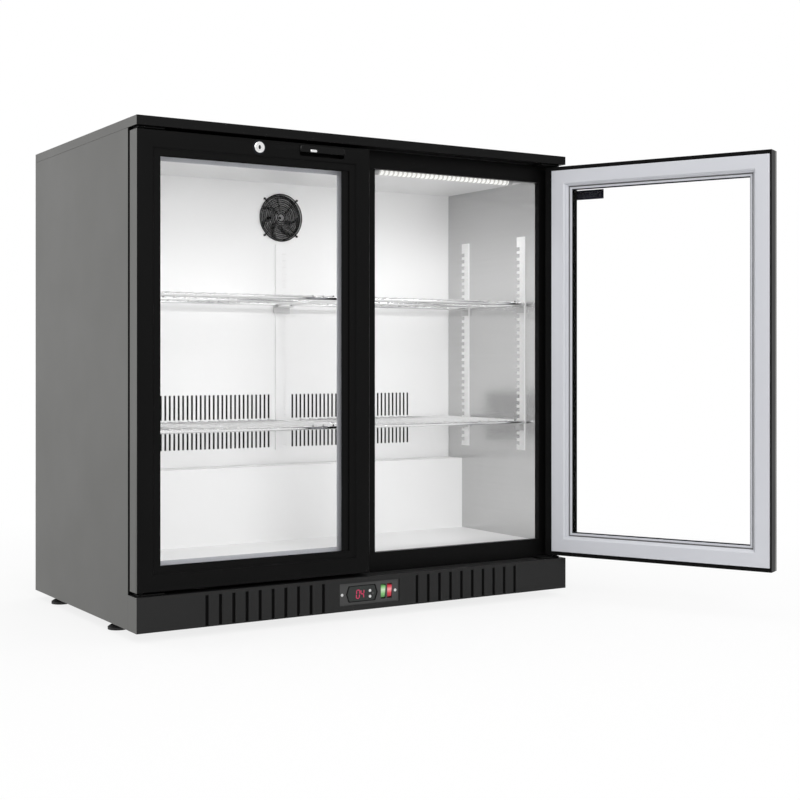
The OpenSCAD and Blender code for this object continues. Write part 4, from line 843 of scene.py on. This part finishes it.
# a blade's angle grows with its sweep and its chord, its depth with its pitch and its camber
def makeRotor(node, f):
    b = bladeForm
    y0, y1 = f["y"]
    x, z = f["centre"]
    middle, half, hub = (y0 + y1) / 2, (y1 - y0) / 2, f["hub"]
    span, chord = np.meshgrid(np.linspace(0, 1, b["steps"]), np.linspace(-1, 1, b["steps"]), indexing="ij")
    r = hub - b["root"] + span * (f["tip"] - hub + b["root"])
    turn = 2 * pi / f["blades"]
    deep = middle + chord * (y1 - y0) * (b["pitch"] - b["ease"] * span) + b["camber"] * (1 - chord ** 2)
    grids = []
    for i in range(f["blades"]):
        angle = i * turn + b["sweep"] * span ** b["curl"] + chord * turn * (b["chord"] + b["flare"] * span)
        blade = np.stack([x + r * np.cos(angle), deep, z + r * np.sin(angle)], -1)
        grids.append(gridCells(toRow(blade)))
    piece = makePiece(node + "_blades", grids, finishes[f["finish"]], f["body"], [node],
                      sharp=b["sharp"])
    wall = piece.modifiers.new("wall", "SOLIDIFY")
    wall.thickness = b["wall"]
    wall.offset = 0
    profile = [(share * hub, half - back) for share, back in hubForm["dome"]] + [(hub, -half), (0, -half)]
    dome = turned(profile, [x, middle, z], facingFront, hubForm["steps"])
    makePiece(node + "_hub", [gridCells(toRow(dome), False, True)], finishes[f["finish"]], f["body"])


# finer rings between those of the evaporator fan's guard: a circle of wire turned about the fan's axis
ringForm = {"y": 348.9, "wire": 0.85, "first": 11.8, "pitch": 7.85, "count": 5, "wireSteps": 10, "steps": 64,
            "sharp": 80}


def makeRings():
    f = ringForm
    angle = np.linspace(0, 2 * pi, f["wireSteps"], endpoint=False)
    wire = f["wire"] * np.stack([np.cos(angle), np.sin(angle)], -1)
    x, z = rotors["evaporator_fan"]["centre"]
    radii = f["first"] + f["pitch"] * np.arange(f["count"])
    rings = [turned(wire + [radius, 0], [x, f["y"], z], facingFront, f["steps"]) for radius in radii]
    makePiece("guard_rings", [gridCells(toRow(ring), True, True) for ring in rings], finishes["guardBlack"],
              "cabinet", sharp=f["sharp"])


for node, form in rotors.items():
    makeRotor(node, form)
makeRings()
print("rotors made")

# camera where the photograph was taken from
view = {"place": (-1.3097, -2.3886, 0.4603), "turn": -31.441, "lens": 62.38, "sensor": 36,
        "shift": (0.0409, -0.0476)}
eye = bpy.data.cameras.new("eye")
eye.sensor_width = view["sensor"]
eye.lens = view["lens"]
eye.shift_x, eye.shift_y = view["shift"]
eyeObject = bpy.data.objects.new("eye", eye)
eyeObject.location = view["place"]
eyeObject.rotation_euler = (radians(90), 0, radians(view["turn"]))
bpy.context.scene.collection.objects.link(eyeObject)
bpy.context.scene.camera = eyeObject

# studio: a pale floor that fades to white with the distance, white surroundings, lamps at the left, in front and
# above, and two in each bay
studio = {"floor": 6.0, "cells": 9, "tone": 0.9, "world": 0.55, "veil": 0.8, "fade": (0.3, 1.5)}


def seenRay(tree):
    rays = addNode(tree, "ShaderNodeLightPath").outputs
    return anyOf(tree, rays["Is Camera Ray"], rays["Is Glossy Ray"], rays["Is Transmission Ray"])


def makeFloor():
    span = np.linspace(-studio["floor"], studio["floor"], studio["cells"])
    x, y = np.meshgrid(span, span, indexing="ij")
    points, quads = gridCells(np.stack([x, y, np.zeros_like(x)], -1))
    mesh = bpy.data.meshes.new("floor")
    mesh.from_pydata(points, [], quads)
    material = bpy.data.materials.new("paleFloor")
    material.use_nodes = True
    tree = material.node_tree
    tree.nodes.clear()
    place = addNode(tree, "ShaderNodeTexCoord").outputs["Object"]
    reach = addNode(tree, "ShaderNodeVectorMath", {0: place}, operation="LENGTH").outputs["Value"]
    near, far = studio["fade"]
    fade = addNode(tree, "ShaderNodeMapRange",
                   {"Value": reach, "From Min": near, "From Max": far, "To Min": studio["veil"]})
    matt = addNode(tree, "ShaderNodeBsdfDiffuse", {"Color": shade(studio["tone"])})
    bright = addNode(tree, "ShaderNodeEmission", {"Color": (1, 1, 1, 1), "Strength": 1.0})
    share = addNode(tree, "ShaderNodeMath", {0: seenRay(tree), 1: fade.outputs["Result"]}, operation="MULTIPLY")
    mixed = addNode(tree, "ShaderNodeMixShader",
                    {0: share.outputs[0], 1: matt.outputs[0], 2: bright.outputs[0]})
    addNode(tree, "ShaderNodeOutputMaterial", {"Surface": mixed.outputs[0]})
    mesh.materials.append(material)
    floor = bpy.data.objects.new("floor", mesh)
    bpy.context.scene.collection.objects.link(floor)


# white to the camera and in mirrors, dimmer as a light
def makeWorld():
    world = bpy.data.worlds.new("studio")
    bpy.context.scene.world = world
    world.use_nodes = True
    tree = world.node_tree
    tree.nodes.clear()
    dim = addNode(tree, "ShaderNodeBackground", {"Color": (1, 1, 1, 1), "Strength": studio["world"]})
    white = addNode(tree, "ShaderNodeBackground", {"Color": (1, 1, 1, 1), "Strength": 1.0})
    mixed = addNode(tree, "ShaderNodeMixShader", {0: seenRay(tree), 1: dim.outputs[0], 2: white.outputs[0]})
    addNode(tree, "ShaderNodeOutputWorld", {"Surface": mixed.outputs[0]})


lamps = {
    "leftBank": {"place": (-1.9, 1.5, 0.7), "aim": (-0.45, 0.2, 0.45), "size": (1.2, 1.2), "power": 5},
    "frontFill": {"place": (-0.5, -3.4, 2.0), "aim": (0.0, -0.2, 0.4), "size": (2.0, 1.2), "power": 45},
    "topWash": {"place": (0.0, 0.3, 3.2), "aim": (0.0, 0.0, 0.0), "size": (2.5, 2.5), "power": 40},
    "bayLeft": {"place": (-0.199, -0.18, 0.804), "aim": (-0.199, 0.114, 0.167), "size": (0.3, 0.015),
                "power": 0.42, "spread": 160},
    "bayRight": {"place": (0.199, -0.18, 0.804), "aim": (0.199, 0.114, 0.167), "size": (0.3, 0.015),
                 "power": 0.42, "spread": 160},
    "lowLeft": {"place": (-0.199, -0.16, 0.34), "aim": (-0.199, 0.09, 0.34), "size": (0.34, 0.42),
                "power": 0.24},
    "lowRight": {"place": (0.199, -0.16, 0.34), "aim": (0.199, 0.09, 0.34), "size": (0.34, 0.42),
                 "power": 0.21},
}


def makeLamp(name, spec):
    light = bpy.data.lights.new(name, "AREA")
    light.shape = "RECTANGLE"
    light.size, light.size_y = spec["size"]
    light.energy = spec["power"]
    light.spread = radians(spec.get("spread", 180))
    lamp = bpy.data.objects.new(name, light)
    lamp.location = spec["place"]
    aim = Vector(spec["aim"]) - Vector(spec["place"])
    lamp.rotation_euler = aim.to_track_quat("-Z", "Y").to_euler()
    bpy.context.scene.collection.objects.link(lamp)


makeFloor()
makeWorld()
for name, spec in lamps.items():
    makeLamp(name, spec)
bpy.context.scene.view_settings.view_transform = "Standard"
print("studio set")
